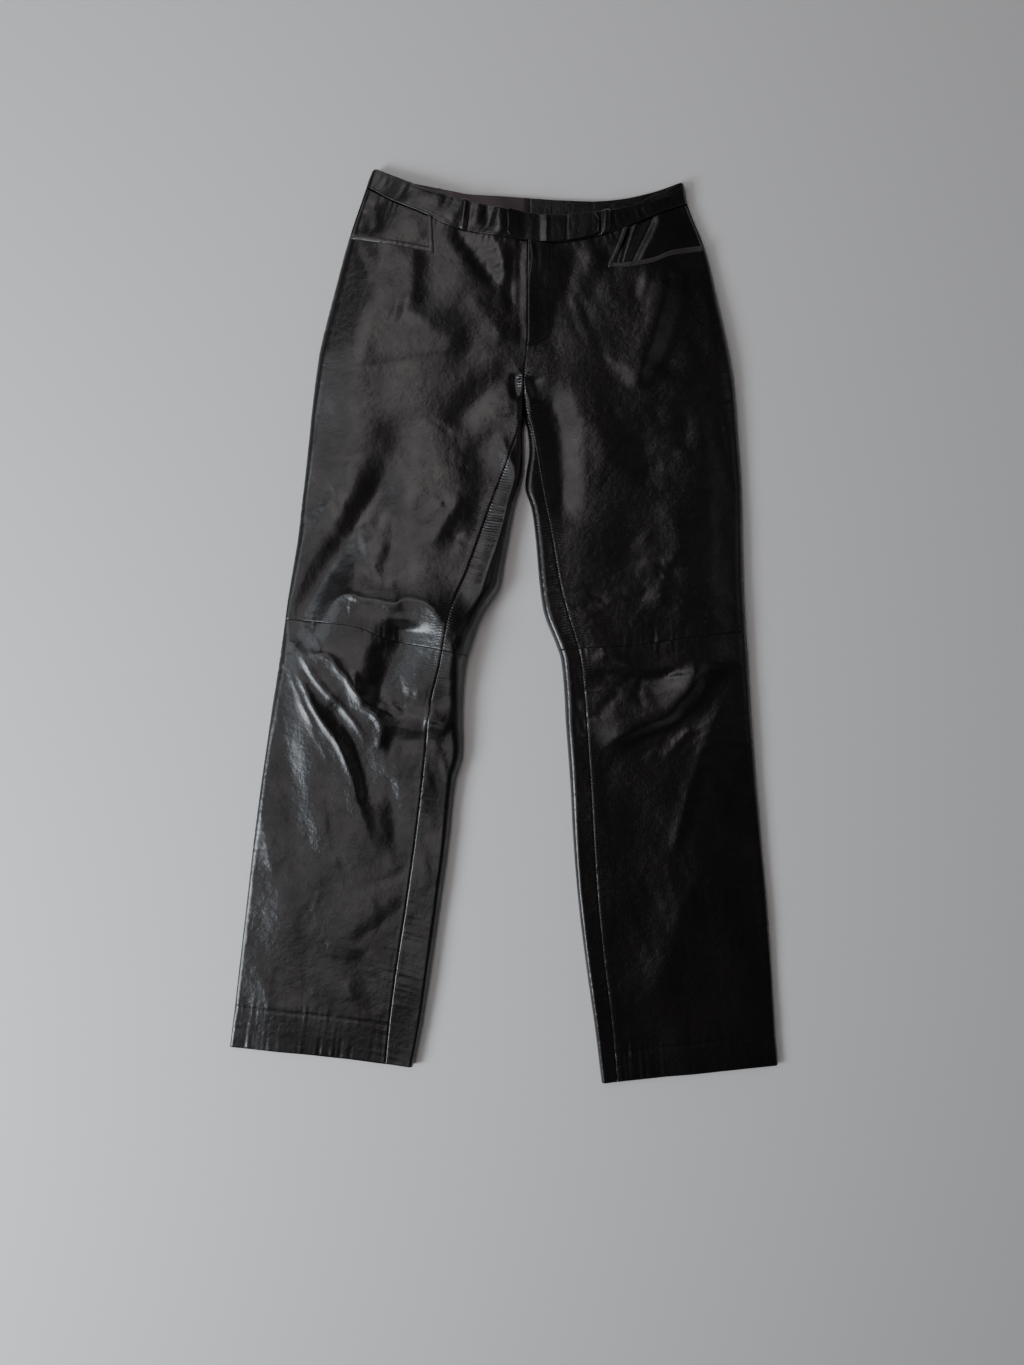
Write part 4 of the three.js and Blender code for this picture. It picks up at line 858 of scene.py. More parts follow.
def leather_finish(name, colour, worn, rough, lumps=1.0):
    """Leather of one colour that is rubbed towards another, with noise of six sizes for its relief
    and polish. The comb of a seam is the sine of the place along it, bent by the broader noise."""
    finish = Finish(name)
    near = finish.node("ShaderNodeAttribute", {"attribute_name": "gather_strength"}, out=2)
    along = finish.node("ShaderNodeAttribute", {"attribute_name": "gather_along"}, out=2)
    where = finish.node("ShaderNodeTexCoord", out="Object")
    grain = finish.node("ShaderNodeTexVoronoi", {"feature": "DISTANCE_TO_EDGE"}, Vector=where, Scale=820.0)
    pores = finish.node("ShaderNodeTexNoise", None, Vector=where, Scale=1500.0, Detail=3.0)
    polish = finish.node("ShaderNodeTexNoise", None, Vector=where, Scale=14.0, Detail=4.0, Roughness=0.6)
    crinkle = finish.node("ShaderNodeTexNoise", None, Vector=where, Scale=330.0, Detail=3.0, Roughness=0.6)
    flecks = finish.node("ShaderNodeTexNoise", None, Vector=where, Scale=110.0, Detail=4.0, Roughness=0.55)
    swell = finish.node("ShaderNodeTexNoise", None, Vector=where, Scale=42.0, Detail=3.0)
    handled = finish.node("ShaderNodeTexNoise", None, Vector=where, Scale=26.0, Detail=5.0, Roughness=0.65)
    wear = finish.ramp(polish, [(0.38, 0.0), (0.72, 1.0)])
    shine = finish.ramp(handled, [(0.36, 0.0), (0.66, 1.0)])
    finish.feed(
        Base_Color=finish.blend(wear, (*colour, 1), (*worn, 1)),
        Roughness=rough + flecks * 0.10 - wear * 0.07,
        Coat_Weight=0.08 + shine * 0.5,
    )
    comb = finish.node("ShaderNodeMath", {"operation": "SINE"}, along * 1.9 + swell * 9 + flecks * 5)
    reliefs = (
        (0.35, 0.00012, grain + pores * 0.6),
        (0.5, 0.0004, crinkle),
        (0.5, 0.0013 * lumps, flecks),
        (0.5, 0.0014 * lumps, swell),
        (1.0, 0.0004, comb * near),
    )
    bumps = {}
    for strength, depth, height in reliefs:
        bump = finish.node("ShaderNodeBump", None, Strength=strength, Distance=depth, Height=height, **bumps)
        bumps = {"Normal": bump}
    finish.feed(Normal=bump)
    finish.shader.inputs["Specular IOR Level"].default_value = 0.5
    finish.shader.inputs["Coat Roughness"].default_value = COAT_ROUGHNESS
    return finish.block


LEATHER = leather_finish("black_nappa", (0.0042, 0.0032, 0.0034), (0.009, 0.0068, 0.0072), 0.29)
TRIM_LEATHER = leather_finish("stiffened_nappa", (0.004, 0.0032, 0.0034), (0.009, 0.007, 0.0074), 0.28, 0.7)
# The pocket edge strips are coloured several times lighter than the leather around them: a painted sheen
# along the pocket mouths.
SHEEN_EDGE_LEATHER = leather_finish("edge_painted_sheen", (0.026, 0.021, 0.022), (0.066, 0.055, 0.057), 0.36, 0.6)
# The inside of the band on the wearer's right half is coloured lighter and pinker than the leather: painted
# sheen. The left half's inside keeps the plain black leather.
SHEEN_FACING_LEATHER = leather_finish("band_facing_painted_sheen", (0.05, 0.031, 0.034), (0.08, 0.05, 0.056), 0.46, 0.5)

THREAD_FINISH = Finish("black_thread")
twist = THREAD_FINISH.node("ShaderNodeTexNoise", None, Scale=2400.0, Detail=2.0,
                           Vector=THREAD_FINISH.node("ShaderNodeTexCoord", out="Object"))
THREAD_FINISH.feed(
    Base_Color=THREAD_FINISH.blend(twist, (0.005, 0.0045, 0.0045, 1), (0.013, 0.012, 0.012, 1)),
    Roughness=0.52 + twist * 0.15,
)
THREAD = THREAD_FINISH.block
for finish in (LEATHER, TRIM_LEATHER, SHEEN_EDGE_LEATHER, SHEEN_FACING_LEATHER, THREAD):
    print("finish", finish.name, len(finish.node_tree.nodes), "nodes")

# %% [markdown]
# One function turns a sheet into a finished piece. The grid goes into the mesh, the Solidify
# modifier gives the leather its thickness on the inner side, the piece rides on the root body,
# the solid it stands for is hidden, and the size of its cut is printed. The cut is measured, not
# guessed: the longest row and column of the skin, and the area of its faces.

# %% Meshes from grids
def grid_faces(rows, columns, keep=None):
    """Four-cornered faces of a grid, less those that keep says to leave out."""
    corner = np.arange(rows * columns).reshape(rows, columns)
    faces = np.stack([corner[:-1, :-1], corner[1:, :-1], corner[1:, 1:], corner[:-1, 1:]], axis=-1)
    return faces[keep] if keep is not None else faces.reshape(-1, 4)


def new_mesh_object(name, points, faces, material):
    """A smooth mesh object at the origin from points in millimetres."""
    mesh = bpy.data.meshes.new(name)
    mesh.from_pydata((points * MM).tolist(), [], faces.tolist())
    mesh.polygons.foreach_set("use_smooth", np.full(len(mesh.polygons), True))
    mesh.materials.append(material)
    mesh.update()
    piece = bpy.data.objects.new(name, mesh)
    bpy.context.scene.collection.objects.link(piece)
    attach(piece, "root")
    return piece


def mark_gathers(piece, along, distance, reach=7.0):
    """Writes the place along a seam and how strongly it gathers the leather there, in stretches that
    come and go along it, exp(-distance / reach) away from it."""
    strength = 0.35 + 0.65 * np.sin(along / 19) ** 2 * np.sin(along / 47 + 1) ** 2 * 2
    for name, values in (("gather_along", along), ("gather_strength", strength * np.exp(-distance / reach))):
        piece.data.attributes.new(name, "FLOAT", "POINT").data.foreach_set("value", values)


# %% From a sheet to a leather piece
LEAST_CUT = 0.01


def skin_area(mesh):
    """Area of all faces of a mesh, in square metres."""
    areas = np.empty(len(mesh.polygons), np.float32)
    mesh.polygons.foreach_get("area", areas)
    return float(areas.sum(dtype=float))


def cloth_piece(name, node, sheet, outward, thickness=SKIN, keep=None, material=None,
                gather=None):
    """Finished leather piece from a sheet, without the grid points that no face uses. Gather is the
    distance from the seam that draws the leather in."""
    faces = grid_faces(*sheet.points.shape[:2], keep)
    if outward > 0:
        faces = faces[:, ::-1]
    used, corners = np.unique(faces, return_inverse=True)
    points = sheet.points.reshape(-1, 3)[used]
    piece = new_mesh_object(name, points, corners.reshape(-1, 4), material or LEATHER)
    if gather is not None:
        mark_gathers(piece, sheet.from_top.ravel()[used], gather.ravel()[used])
    wall = piece.modifiers.new("leather", "SOLIDIFY")
    wall.thickness, wall.offset = thickness * MM, -1
    width, length = (max(run[-1].max() * MM, LEAST_CUT) for run in (sheet.from_start.T, sheet.from_top))
    width, length = round(width, 3), round(length, 3)
    area = round(min(skin_area(piece.data), width * length), 6)
    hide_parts(node)
    print(f"{name}: {width} x {length} m, {area} m2")
    return piece


# %% [markdown]
# Stitches are real thread, and close up they catch the light one by one, which a painted dashed
# line wouldn't do. Each is a small spindle. A row of them is placed by length along a line on the
# leather, and all rows of a seam are joined into one object.

# %% Rows of stitches
STITCH_PITCH = 3.6
STITCH_LENGTH = 2.7
STITCH_RADIUS = 0.27
STITCH_SIDES = 6
# Place of the spindle's rings along it, in stitch lengths from its middle
RING_PLACE = 0.28


def stitch_rows(name, lines, pitch=STITCH_PITCH, sink=0.14):
    """Spindles along lines of (points, directions): two tips and two rings of six corners each."""
    spindle_along = np.array([-0.5, *([-RING_PLACE] * STITCH_SIDES), *([RING_PLACE] * STITCH_SIDES), 0.5])
    turn = np.tile(np.arange(STITCH_SIDES) * 2 * math.pi / STITCH_SIDES, 2)
    spindle_out = np.concatenate([[0], np.cos(turn), [0]])
    spindle_side = np.concatenate([[0], np.sin(turn), [0]])
    ring = np.arange(STITCH_SIDES)
    after = (ring + 1) % STITCH_SIDES
    first, second, tip = 1, 1 + STITCH_SIDES, 1 + 2 * STITCH_SIDES
    triangles = np.concatenate([
        np.stack([np.zeros_like(ring), first + after, first + ring], axis=1),
        np.stack([first + ring, first + after, second + after], axis=1),
        np.stack([first + ring, second + after, second + ring], axis=1),
        np.stack([second + ring, second + after, np.full_like(ring, tip)], axis=1),
    ])
    all_points, all_faces, count = [], [], 0
    for points, normals in lines:
        run = np.concatenate([[0], np.cumsum(np.linalg.norm(np.diff(points, axis=0), axis=1))])
        at = np.arange(pitch / 2, run[-1], pitch)

        def place(values, where):
            """Values at lengths along the line."""
            return np.stack([np.interp(where, run, values[:, k]) for k in range(3)], axis=1)

        middle, out = place(points, at), place(normals, at)
        out = out / np.linalg.norm(out, axis=1, keepdims=True)
        ahead = place(points, at + 0.4) - place(points, at - 0.4)
        ahead = ahead / np.linalg.norm(ahead, axis=1, keepdims=True)
        side = np.cross(ahead, out)
        spindle = (middle - out * sink)[:, None] \
            + ahead[:, None] * (spindle_along * STITCH_LENGTH)[:, None] \
            + out[:, None] * (spindle_out * STITCH_RADIUS)[:, None] \
            + side[:, None] * (spindle_side * STITCH_RADIUS)[:, None]
        all_points.append(spindle.reshape(-1, 3))
        starts = (count + np.arange(len(at))) * len(spindle_along)
        all_faces.append((triangles[None] + starts[:, None, None]).reshape(-1, 3))
        count += len(at)
    new_mesh_object(name, np.concatenate(all_points), np.concatenate(all_faces), THREAD)
    print(name, count, "stitches")


# %% [markdown]
# The fronts. Each thigh panel loses the corner that the pocket cuts away, its seams roll under,
# and the side seam allowance is pressed open, so only the inseam and the knee seam carry a
# stitched ridge. The hem is turned up and stitched 34 to 46 mm above the edge. An even grid fine
# enough for a seam would be far too fine for a thigh, so the grid lines crowd only beside seams.

# %% Grid lines of the panels
EDGE_LINES = (0.0012, 0.003, 0.006, 0.011, 0.018, 0.026, 0.036)
SEAM_LINES = (0.002, 0.005, 0.009, 0.014, 0.02, 0.026, 0.033)
THIGH_ROWS = (16, 72, 130)
SHIN_ROWS = 236


def thin(count):
    return count


def front_shares():
    """Grid lines across a front, crowded at the outer fold, the pocket edge and the seam."""
    outer = sewn_spread(0, POCKET_SHARE, thin(46), EDGE_LINES, SEAM_LINES)
    inner = sewn_spread(POCKET_SHARE, 1, thin(62), SEAM_LINES, SEAM_LINES)
    return np.concatenate([outer, inner[1:]])


def thigh_places():
    """Grid lines down a thigh, crowded at the waist seam, the pocket mouth and the knee seam."""
    first = sewn_spread(0, 1, thin(THIGH_ROWS[0]), (0.02, 0.05, 0.1, 0.15), (0.02, 0.05, 0.1))
    second = sewn_spread(1, 2, thin(THIGH_ROWS[1]), (0.005, 0.012, 0.022, 0.034), ())
    third = sewn_spread(2, 3, thin(THIGH_ROWS[2]), (), (0.002, 0.005, 0.01, 0.016, 0.022))
    return np.concatenate([first, second[1:], third[1:]])


def shin_places():
    """Grid lines down a shin, crowded at the knee seam and at the hem."""
    return sewn_spread(0, 1, thin(SHIN_ROWS), (0.001, 0.003, 0.006, 0.0095, 0.013), (0.002, 0.005))


print("grid lines across a front", len(front_shares()), "down a thigh", len(thigh_places()))


# %% Front panels
HEM_STITCH = {"r": 46.0, "l": 34.0}
FAR = 99.0
# Place on the thigh below which the inseam gathers the leather, and the added distance that keeps
# the rest free of gathers
GATHER_FROM = 1.7
NO_GATHER = 90.0
# On a shin the gathers start weaker and fade towards the hem
SHIN_GATHER = 4.0
SHIN_GATHER_FADE = 30.0


def fly_step(leg, sheet):
    """The left front's edge lies on the right front: one side stands proud and the other dips."""
    y = sheet.points[..., 1]
    near = 1 - smoothstep(sheet.from_end, 7, 15)
    there = smoothstep(y, 312, 326)
    return (0.7 if leg.side == "l" else -0.9) * near * there


SHEETS = {}
for side, leg in LEGS.items():
    outward = -leg.inward
    thigh = Sheet(lambda s, p: front_point(leg, "thigh", s, p), front_shares(), thigh_places(), outward)
    shin = Sheet(lambda s, p: front_point(leg, "shin", s, p), front_shares(), shin_places(), outward)
    corner = int(np.argmin(np.abs(thigh.share[0] - POCKET_SHARE)))
    mouth = int(np.argmin(np.abs(thigh.place[:, 0] - 1)))
    from_corner = np.abs(thigh.from_start - thigh.from_start[:, corner:corner + 1])
    from_mouth = np.abs(thigh.from_top - thigh.from_top[mouth:mouth + 1])
    beside = np.where(thigh.place < 1, from_corner, FAR)
    below = np.where((thigh.share < POCKET_SHARE) & (thigh.place >= 1), from_mouth, FAR)
    seed = 40 if side == "r" else 60
    thigh.push(
        seam_roll(thigh.from_end) + seam_roll(thigh.from_top) + 0.6 * seam_roll(thigh.from_foot)
        + 0.5 * seam_roll(thigh.from_start) + seam_roll(beside) + seam_roll(below)
        + seam_ridge(thigh.from_end) * (thigh.place > 1.9) + 0.4 * seam_ridge(thigh.from_foot)
        + puckers(thigh.from_end, thigh.from_top, seed, 0.4, 12) * (thigh.place > 1.5)
        + puckers(thigh.from_foot, thigh.from_start, seed + 1, 0.3)
        + puckers(thigh.from_top, thigh.from_start, seed + 2, 0.5, 14)
        + puckers(thigh.from_start, thigh.from_top, seed + 3, 0.25, 12)
        + fly_step(leg, thigh)
    )
    hem_line = np.abs(shin.from_foot - HEM_STITCH[side])
    shin.push(
        seam_roll(shin.from_end) + 0.6 * seam_roll(shin.from_top) + 0.5 * seam_roll(shin.from_start)
        + 0.6 * seam_roll(shin.from_foot) + seam_ridge(shin.from_end)
        + puckers(shin.from_end, shin.from_top, seed + 4, 0.35, 11)
        + puckers(shin.from_top, shin.from_start, seed + 5, 0.3)
        + puckers(shin.from_start, shin.from_top, seed + 6, 0.25, 12)
        + puckers(shin.from_foot, shin.from_start, seed + 7, 0.5, 16)
        + puckers(hem_line, shin.from_start, seed + 8, 0.35, 8)
        - 0.45 * np.exp(-(hem_line / 1.1) ** 2)
        + 0.35 * (1 - smoothstep(shin.from_foot, 20, HEM_STITCH[side]))
    )
    keep = ~((thigh.place[:-1, :-1] < 0.999) & (thigh.share[:-1, :-1] < POCKET_SHARE - 0.0005))
    SHEETS[side] = {"thigh": thigh, "shin": shin}
    cloth_piece(f"leather_front_thigh_{side}", f"front_thigh_{side}", thigh, outward, keep=keep,
                gather=thigh.from_end + NO_GATHER * (thigh.place < GATHER_FROM))
    cloth_piece(f"leather_front_shin_{side}", f"front_shin_{side}", shin, outward,
                gather=shin.from_end + SHIN_GATHER + SHIN_GATHER_FADE * shin.place)
print("fronts", {side: SHEETS[side]["thigh"].points.shape[:2] for side in SHEETS})

# %% [markdown]
# The backs lie on the floor and come round both folds. Most of each is never seen from above, but
# the strip between the inner fold and the inseam is, and it carries fine creases of its own. It
# has the same grid lines down the leg as the front, so that the two meet point by point at the
# seams.

# %% Back panels
def back_shares():
    """Grid lines across a back: both rounds, the flat and the strip up to the inseam."""
    first = np.linspace(0, ROUND_END, 7)
    flat = np.linspace(ROUND_END, FLAT_END, thin(26))
    second = np.linspace(FLAT_END, INNER_END, 7)
    strip = sewn_spread(INNER_END, 1, thin(22), (0.02, 0.06, 0.12), (0.03, 0.08, 0.14))
    return np.concatenate([first, flat[1:], second[1:], strip[1:]])


for side, leg in LEGS.items():
    outward = leg.inward
    back_thigh = Sheet(lambda s, p: back_point(leg, "thigh", s, p), back_shares(), thigh_places(), outward)
    back_shin = Sheet(lambda s, p: back_point(leg, "shin", s, p), back_shares(), shin_places(), outward)
    seed = 80 if side == "r" else 100
    for part, sheet in (("thigh", back_thigh), ("shin", back_shin)):
        on_strip = smoothstep(sheet.share, INNER_END, INNER_END + 0.03)
        sheet.push(on_strip * (
            seam_roll(sheet.from_end) + seam_roll(sheet.from_foot if part == "thigh" else sheet.from_top)
            + puckers(sheet.from_end, sheet.from_top, seed, 0.5, 13)
            + puckers(sheet.from_end, sheet.from_top, seed + 9, 0.25, 30)))
    past = back_thigh.share[:-1, :-1] >= FLAT_END - 0.0005
    keep = ~(past & (back_thigh.place[:-1, :-1] < 1.999))
    cloth_piece(f"leather_back_thigh_{side}", f"back_thigh_{side}", back_thigh, outward, keep=keep,
                gather=back_thigh.from_end)
    cloth_piece(f"leather_back_shin_{side}", f"back_shin_{side}", back_shin, outward,
                gather=back_shin.from_end + SHIN_GATHER + SHIN_GATHER_FADE * back_shin.place)

# %% [markdown]
# The waistband is stiffened, so it is thicker and hardly folds, but its two long rows of
# stitching pull it into small upright gathers. Each half runs from the centre back, round the
# side and over to the centre front. It is made of the same back and front skins as the legs, read
# one after the other, so that it turns round the same side fold.

# %% Shape of the waistband
BAND_STITCHES = (2.4, 5.2)
# Share of a half at which it comes round to the front, and the rounding of its top edge there
BAND_SIDE = 0.42
CORNER_ROUND = 9.0
CORNER_DROP = 0.8
# Soft folds over the band: x, y, x, y, bow, width, height
BAND_FOLDS = {
    "r": [
        (-6, 446, -3, 480, 0, 5.0, 2.0), (-34, 452, -30, 486, 0, 5.0, 1.2),
        (-18, 446, -18, 482, 0, 4.0, -1.0), (-66, 462, -44, 484, -3, 4.0, 1.0),
        (-118, 486, -62, 486, 3, 4.0, 0.8), (-150, 506, -90, 484, 0, 5.0, -0.8),
    ],
    "l": [
        (126, 462, 210, 492, 4, 4.0, -1.0), (150, 476, 214, 510, 2, 3.0, 0.9),
        (40, 448, 43, 470, 0, 3.0, 1.4),
    ],
}


def band_point(leg, share, place):
    """Band skin: the back's underside for shares under BAND_SIDE, then the front's outer face. At the
    side fold the top edge drops by a quarter circle, r - sqrt(r^2 - (r - d)^2)."""
    under = back_point(leg, "band", np.clip((1 - share / BAND_SIDE) * FLAT_END, 0, FLAT_END), place)
    over = front_point(leg, "band", np.clip((share - BAND_SIDE) / (1 - BAND_SIDE), 0, 1), place)
    band = np.where((share < BAND_SIDE)[..., None], under, over)
    short = np.clip(1 - (band[..., 0] - leg.outer(band[..., 1])) * leg.inward / CORNER_ROUND, 0, 1)
    band[..., 1] -= CORNER_DROP * CORNER_ROUND * (1 - np.sqrt(1 - short * short)) * place ** 2
    return band


def gathers(sheet, seed, high):
    """Upright gathers between the two rows of stitches: strongest half way up the band."""
    along = sheet.from_start
    draw = np.random.default_rng(seed)
    waves = sum(np.sin(along / length + draw.uniform(0, 6.3)) for length in (1.3, 1.9, 2.7, 4.4))
    strength = 0.45 + 0.55 * np.sin(along / 16 + draw.uniform(0, 6.3)) ** 2
    up = np.sin(math.pi * np.clip(sheet.place, 0, 1))
    return high * waves / 2 * strength * (0.35 + 0.65 * up)


# %% Waistband halves
BAND_PLACES = (0, 0.02, 0.05, 0.08, 0.11, 0.15, 0.25, 0.37, 0.5, 0.63, 0.75, 0.85, 0.89, 0.92, 0.95, 0.98, 1)
GATHER_SEED = {"r": 7, "l": 8}

for side, leg in LEGS.items():
    round_lines = BAND_SIDE * (1 - np.linspace(0, ROUND_END / FLAT_END, 8)[::-1])
    turn_lines = BAND_SIDE + (1 - BAND_SIDE) * np.array([0.002, 0.005, 0.009, 0.014, 0.02, 0.027, 0.035])
    shares = np.unique(np.concatenate([np.linspace(0, round_lines[0], thin(40)), round_lines, turn_lines,
                                       np.linspace(turn_lines[-1], 1, thin(150))]))
    band = Sheet(lambda s, p: band_point(leg, s, p), shares, BAND_PLACES, leg.inward)
    on_top = smoothstep(band.share, BAND_SIDE, BAND_SIDE + 0.03)
    x, y = band.points[..., 0], band.points[..., 1]
    gathered = 1 + 1.6 * smoothstep(x, -46, -30) * (1 - smoothstep(x, 4, 20))
    rows_of_stitches = sum(np.exp(-((distance - inset) / 0.6) ** 2)
                           for distance in (band.from_top, band.from_foot) for inset in BAND_STITCHES)
    band.push(seam_roll(band.from_top) + seam_roll(band.from_foot)
              + on_top * (gathers(band, GATHER_SEED[side], 0.17) * gathered - 0.35 * rows_of_stitches
                          + fold_sum(BAND_FOLDS[side], x, y)))
    SHEETS[side]["band"] = band
    piece = cloth_piece(f"leather_waistband_{side}", f"waistband_{side}", band, leg.inward,
                        thickness=BAND_SKIN, material=TRIM_LEATHER)
    # Painted sheen on the inside of the right half only; the left half's inside stays plain leather.
    piece.data.materials.append(SHEEN_FACING_LEATHER if side == "r" else LEATHER)
    piece.modifiers["leather"].material_offset = 1

# %% [markdown]
# The pockets. Where the front panel is cut away, the pocket's facing shows. It is the same
# leather, sewn in below the waistband, and it lies one thickness deeper than the front. So it is
# the front's own skin, pushed in. On the wearer's left it has slipped into two upright pleats.

# %% Pocket facings
FACING_DEPTH = SKIN + 0.6
# Pleats: x, y, x, y, bow, width, height
FACING_PLEATS = {
    "r": [
        (-152, 490, -148, 446, 2, 5, -1.2), (-104, 470, -96, 436, 0, 7, 0.8),
    ],
    "l": [
        (147, 474, 125, 398, 0, 2.6, -2.3), (159, 479, 131, 394, 0, 2.8, 1.0),
        (176, 476, 138, 398, 0, 3.6, -2.3), (187, 479, 150, 398, 0, 4.4, 0.8),
    ],
}

for side, leg in LEGS.items():
    shares = np.linspace(0.001, POCKET_SHARE + 0.07, thin(70))
    places = np.linspace(0, 1.12, thin(34))
    facing = Sheet(lambda s, p: front_point(leg, "thigh", s, p), shares, places, -leg.inward)
    x, y = facing.points[..., 0], facing.points[..., 1]
    facing.push(fold_sum(FACING_PLEATS[side], x, y) - FACING_DEPTH + seam_roll(facing.from_top)
                + puckers(facing.from_top, facing.from_start, 130 + leg.inward, 0.25, 12))
    cloth_piece(f"leather_pocket_facing_{side}", f"pocket_facing_{side}", facing, -leg.inward)

# %% [markdown]
# Each pocket mouth is bound by a narrow turned strip, which runs in from the side seam and then
# up to the waistband. It is puffy in the middle and held down by stitches on the panel's side. A
# tube along a curve would float over the folds, so the strip is a narrow ribbon of the front's
# skin, pushed out.

# %% Pocket edges
EDGE_WIDTH = 6.0
EDGE_START = 0.022


def edge_point(leg, along, far):
    """Strip skin: along runs 0 to 1 beside the mouth and 1 to 2 up the edge, far across the strip.
    At the corner both offsets hold at once, which mitres it."""
    run, rise = np.clip(along, 0, 1), np.clip(along - 1, 0, 1)
    corner_x = POCKETS[leg.side][0]
    across = EDGE_WIDTH * (1 - POCKET_SHARE) / abs(corner_x - CENTRE_X)
    down = EDGE_WIDTH / (leg.pocket(corner_x) - leg.crotch(corner_x))
    share = lerp(EDGE_START, POCKET_SHARE, run) + far * across * smoothstep(along, 0.94, 1)
    place = 1 - 0.985 * rise + far * down * (1 - smoothstep(along, 1, 1.12))
    return front_point(leg, "thigh", share, place)


for side, leg in LEGS.items():
    shares = np.unique(np.concatenate([np.linspace(0, 0.94, thin(56)), np.linspace(0.94, 1.12, 13),
                                       np.linspace(1.12, 2, thin(24))]))
    strip = Sheet(lambda s, p: edge_point(leg, s, p), shares, np.linspace(0, 1, 11), -leg.inward)
    bulge = np.sin(math.pi * np.clip(strip.place, 0, 1)) ** 0.7
    ripple = puckers(0 * strip.from_start + 2, strip.from_start, 150 + leg.inward, 0.45, 60)
    strip.push(0.35 + (1.15 + ripple) * bulge)
    SHEETS[side]["edge"] = strip
    # The strip's lighter finish is painted sheen.
    cloth_piece(f"leather_pocket_edge_{side}", f"pocket_edge_{side}", strip, -leg.inward, thickness=1.0,
                material=SHEEN_EDGE_LEATHER)

# %% [markdown]
# The fly. The left front carries a placket whose stitching goes straight down from the waistband
# and then curves in to the centre seam. The zip beneath it is hidden when the fly is closed, so
# none is made. The placket is one more ribbon over the front, whose outer border is a quarter
# ellipse at the foot. Its free edge stands proud, because it is folded and holds the zip.

# %% Fly placket
FLY_WIDTH = 30.0
FLY_FOOT_Y = 318.0
FLY_TURN_Y = 346.0
FLY_STITCH = 3.2


def placket_point(across, down):
    """Placket skin: from the waist seam to its foot, as wide as a quarter ellipse near the foot.
    Its edge strays a few millimetres from the centre line, like a soft leather edge does."""
    leg = LEGS["l"]
    y = lerp(WAIST["front_seam"](CENTRE_X + FLY_WIDTH * across) - 0.6, FLY_FOOT_Y, down)
    turn = np.clip((FLY_TURN_Y - y) / (FLY_TURN_Y - FLY_FOOT_Y), 0, 1)
    width = FLY_WIDTH * np.maximum(np.sqrt(1 - turn * turn), 0.08)
    stray = 3.6 * np.exp(-((y - 416) / 17) ** 2) * (1 - across)
    x = leg.seam(y) + SEAM_GAP / 2 + stray + width * across
    return np.stack([x, y, top_height(leg, x, y)], axis=-1)


placket = Sheet(placket_point, sewn_spread(0, 1, thin(20), (0.02, 0.05, 0.1), (0.02, 0.05, 0.1)),
                sewn_spread(0, 1, thin(64), (0.01,), (0.01, 0.03, 0.06)), -1)
from_edge = np.minimum(placket.from_end, placket.from_foot * 1.2)
body = 0.95 - 0.75 * (1 - smoothstep(from_edge, 0, 2.2))
free_edge = seam_roll(placket.from_start, 3.0, 2.2) + 4.0 * np.exp(-placket.from_start / 11)
stitch_groove = 0.6 * np.exp(-((from_edge - FLY_STITCH) / 1.0) ** 2)
wrinkles = puckers(placket.from_start, placket.from_top, 171, 0.4, 14) \
    + puckers(placket.from_end, placket.from_top, 172, 0.3, 10)
dip = 0.8 * np.exp(-((placket.from_start - 7) / 4) ** 2) * smoothstep(placket.points[..., 1], 380, 420)
placket.push(body + free_edge - stitch_groove + wrinkles - dip)
cloth_piece("leather_fly_placket", "fly_placket", placket, -1, thickness=1.0)

# %% [markdown]
# The closing tab is one strap that crosses both band halves. Its left end is rounded and its right
# end has a clipped corner. It sags a little where it crosses the opening, behind a soft upright
# fold, and it is stitched all the way round. It is worked out on the band's own face, so that it
# follows the band over the step from one half to the other.

# %% Closing tab
TAB_LEFT, TAB_RIGHT = 4.0, 109.6
TAB_LIFT = 2.5
TAB_STITCH = 2.6


def band_face(x, level):
    """Outer face of the band on the front, from x and the level up the band."""
    y = lerp(WAIST["front_seam"](x) + WAIST_GAP / 2, WAIST["front_top"](x), level)
    crossing = smoothstep(x, CENTRE_X - 9, CENTRE_X + 9)
    z = lerp(top_height(LEGS["r"], x, y), top_height(LEGS["l"], x, y), crossing)
    return np.stack([x, y, z], axis=-1)


def tab_point(along, up):
    """Tab skin: its ends narrow, as a round on the left and as a clipped corner on the right."""
    x = lerp(TAB_LEFT, TAB_RIGHT, along)
    left = np.clip(1 - (x - TAB_LEFT) / 5, 0, 1)
    right = np.clip(1 - (TAB_RIGHT - x) / 7, 0, 1)
    low = 0.01 + 0.17 * (1 - np.sqrt(1 - left * left)) + 0.07 * right
    high = 0.99 - 0.17 * (1 - np.sqrt(1 - left * left)) - 0.36 * right
    return band_face(x, lerp(low, high, up))


tab = Sheet(tab_point, sewn_spread(0, 1, thin(70), (0.002, 0.007, 0.015, 0.026), (0.003, 0.01, 0.02)),
            sewn_spread(0, 1, thin(18), (0.015, 0.04, 0.08), (0.015, 0.04, 0.08)), 1)
tab_x = tab.points[..., 0]
tab_edge = np.minimum(np.minimum(tab.from_start, tab.from_end), np.minimum(tab.from_top, tab.from_foot))
rolled_edge = seam_roll(tab_edge, 1.8, 0.9) + seam_roll(tab.from_start, 3.4, 2.2)
stitch_groove = 0.35 * np.exp(-((tab_edge - 2.9) / 0.7) ** 2)
proud_end = 4.2 * np.exp(-tab.from_start / 9)
sag = 1.1 * smoothstep(tab_x, 14, 24) * (1 - smoothstep(tab_x, 40, 47))
upright_fold = 0.5 * np.exp(-((tab_x - 49) / 1.8) ** 2)
crease = 0.5 * np.exp(-((tab_x - 71.5) / 1.0) ** 2)
tab.push(TAB_LIFT + rolled_edge - stitch_groove + proud_end - sag + upright_fold - crease
         + gathers(tab, 21, 0.1))
cloth_piece("leather_waist_tab", "waist_tab", tab, 1, thickness=2.0, material=TRIM_LEATHER)

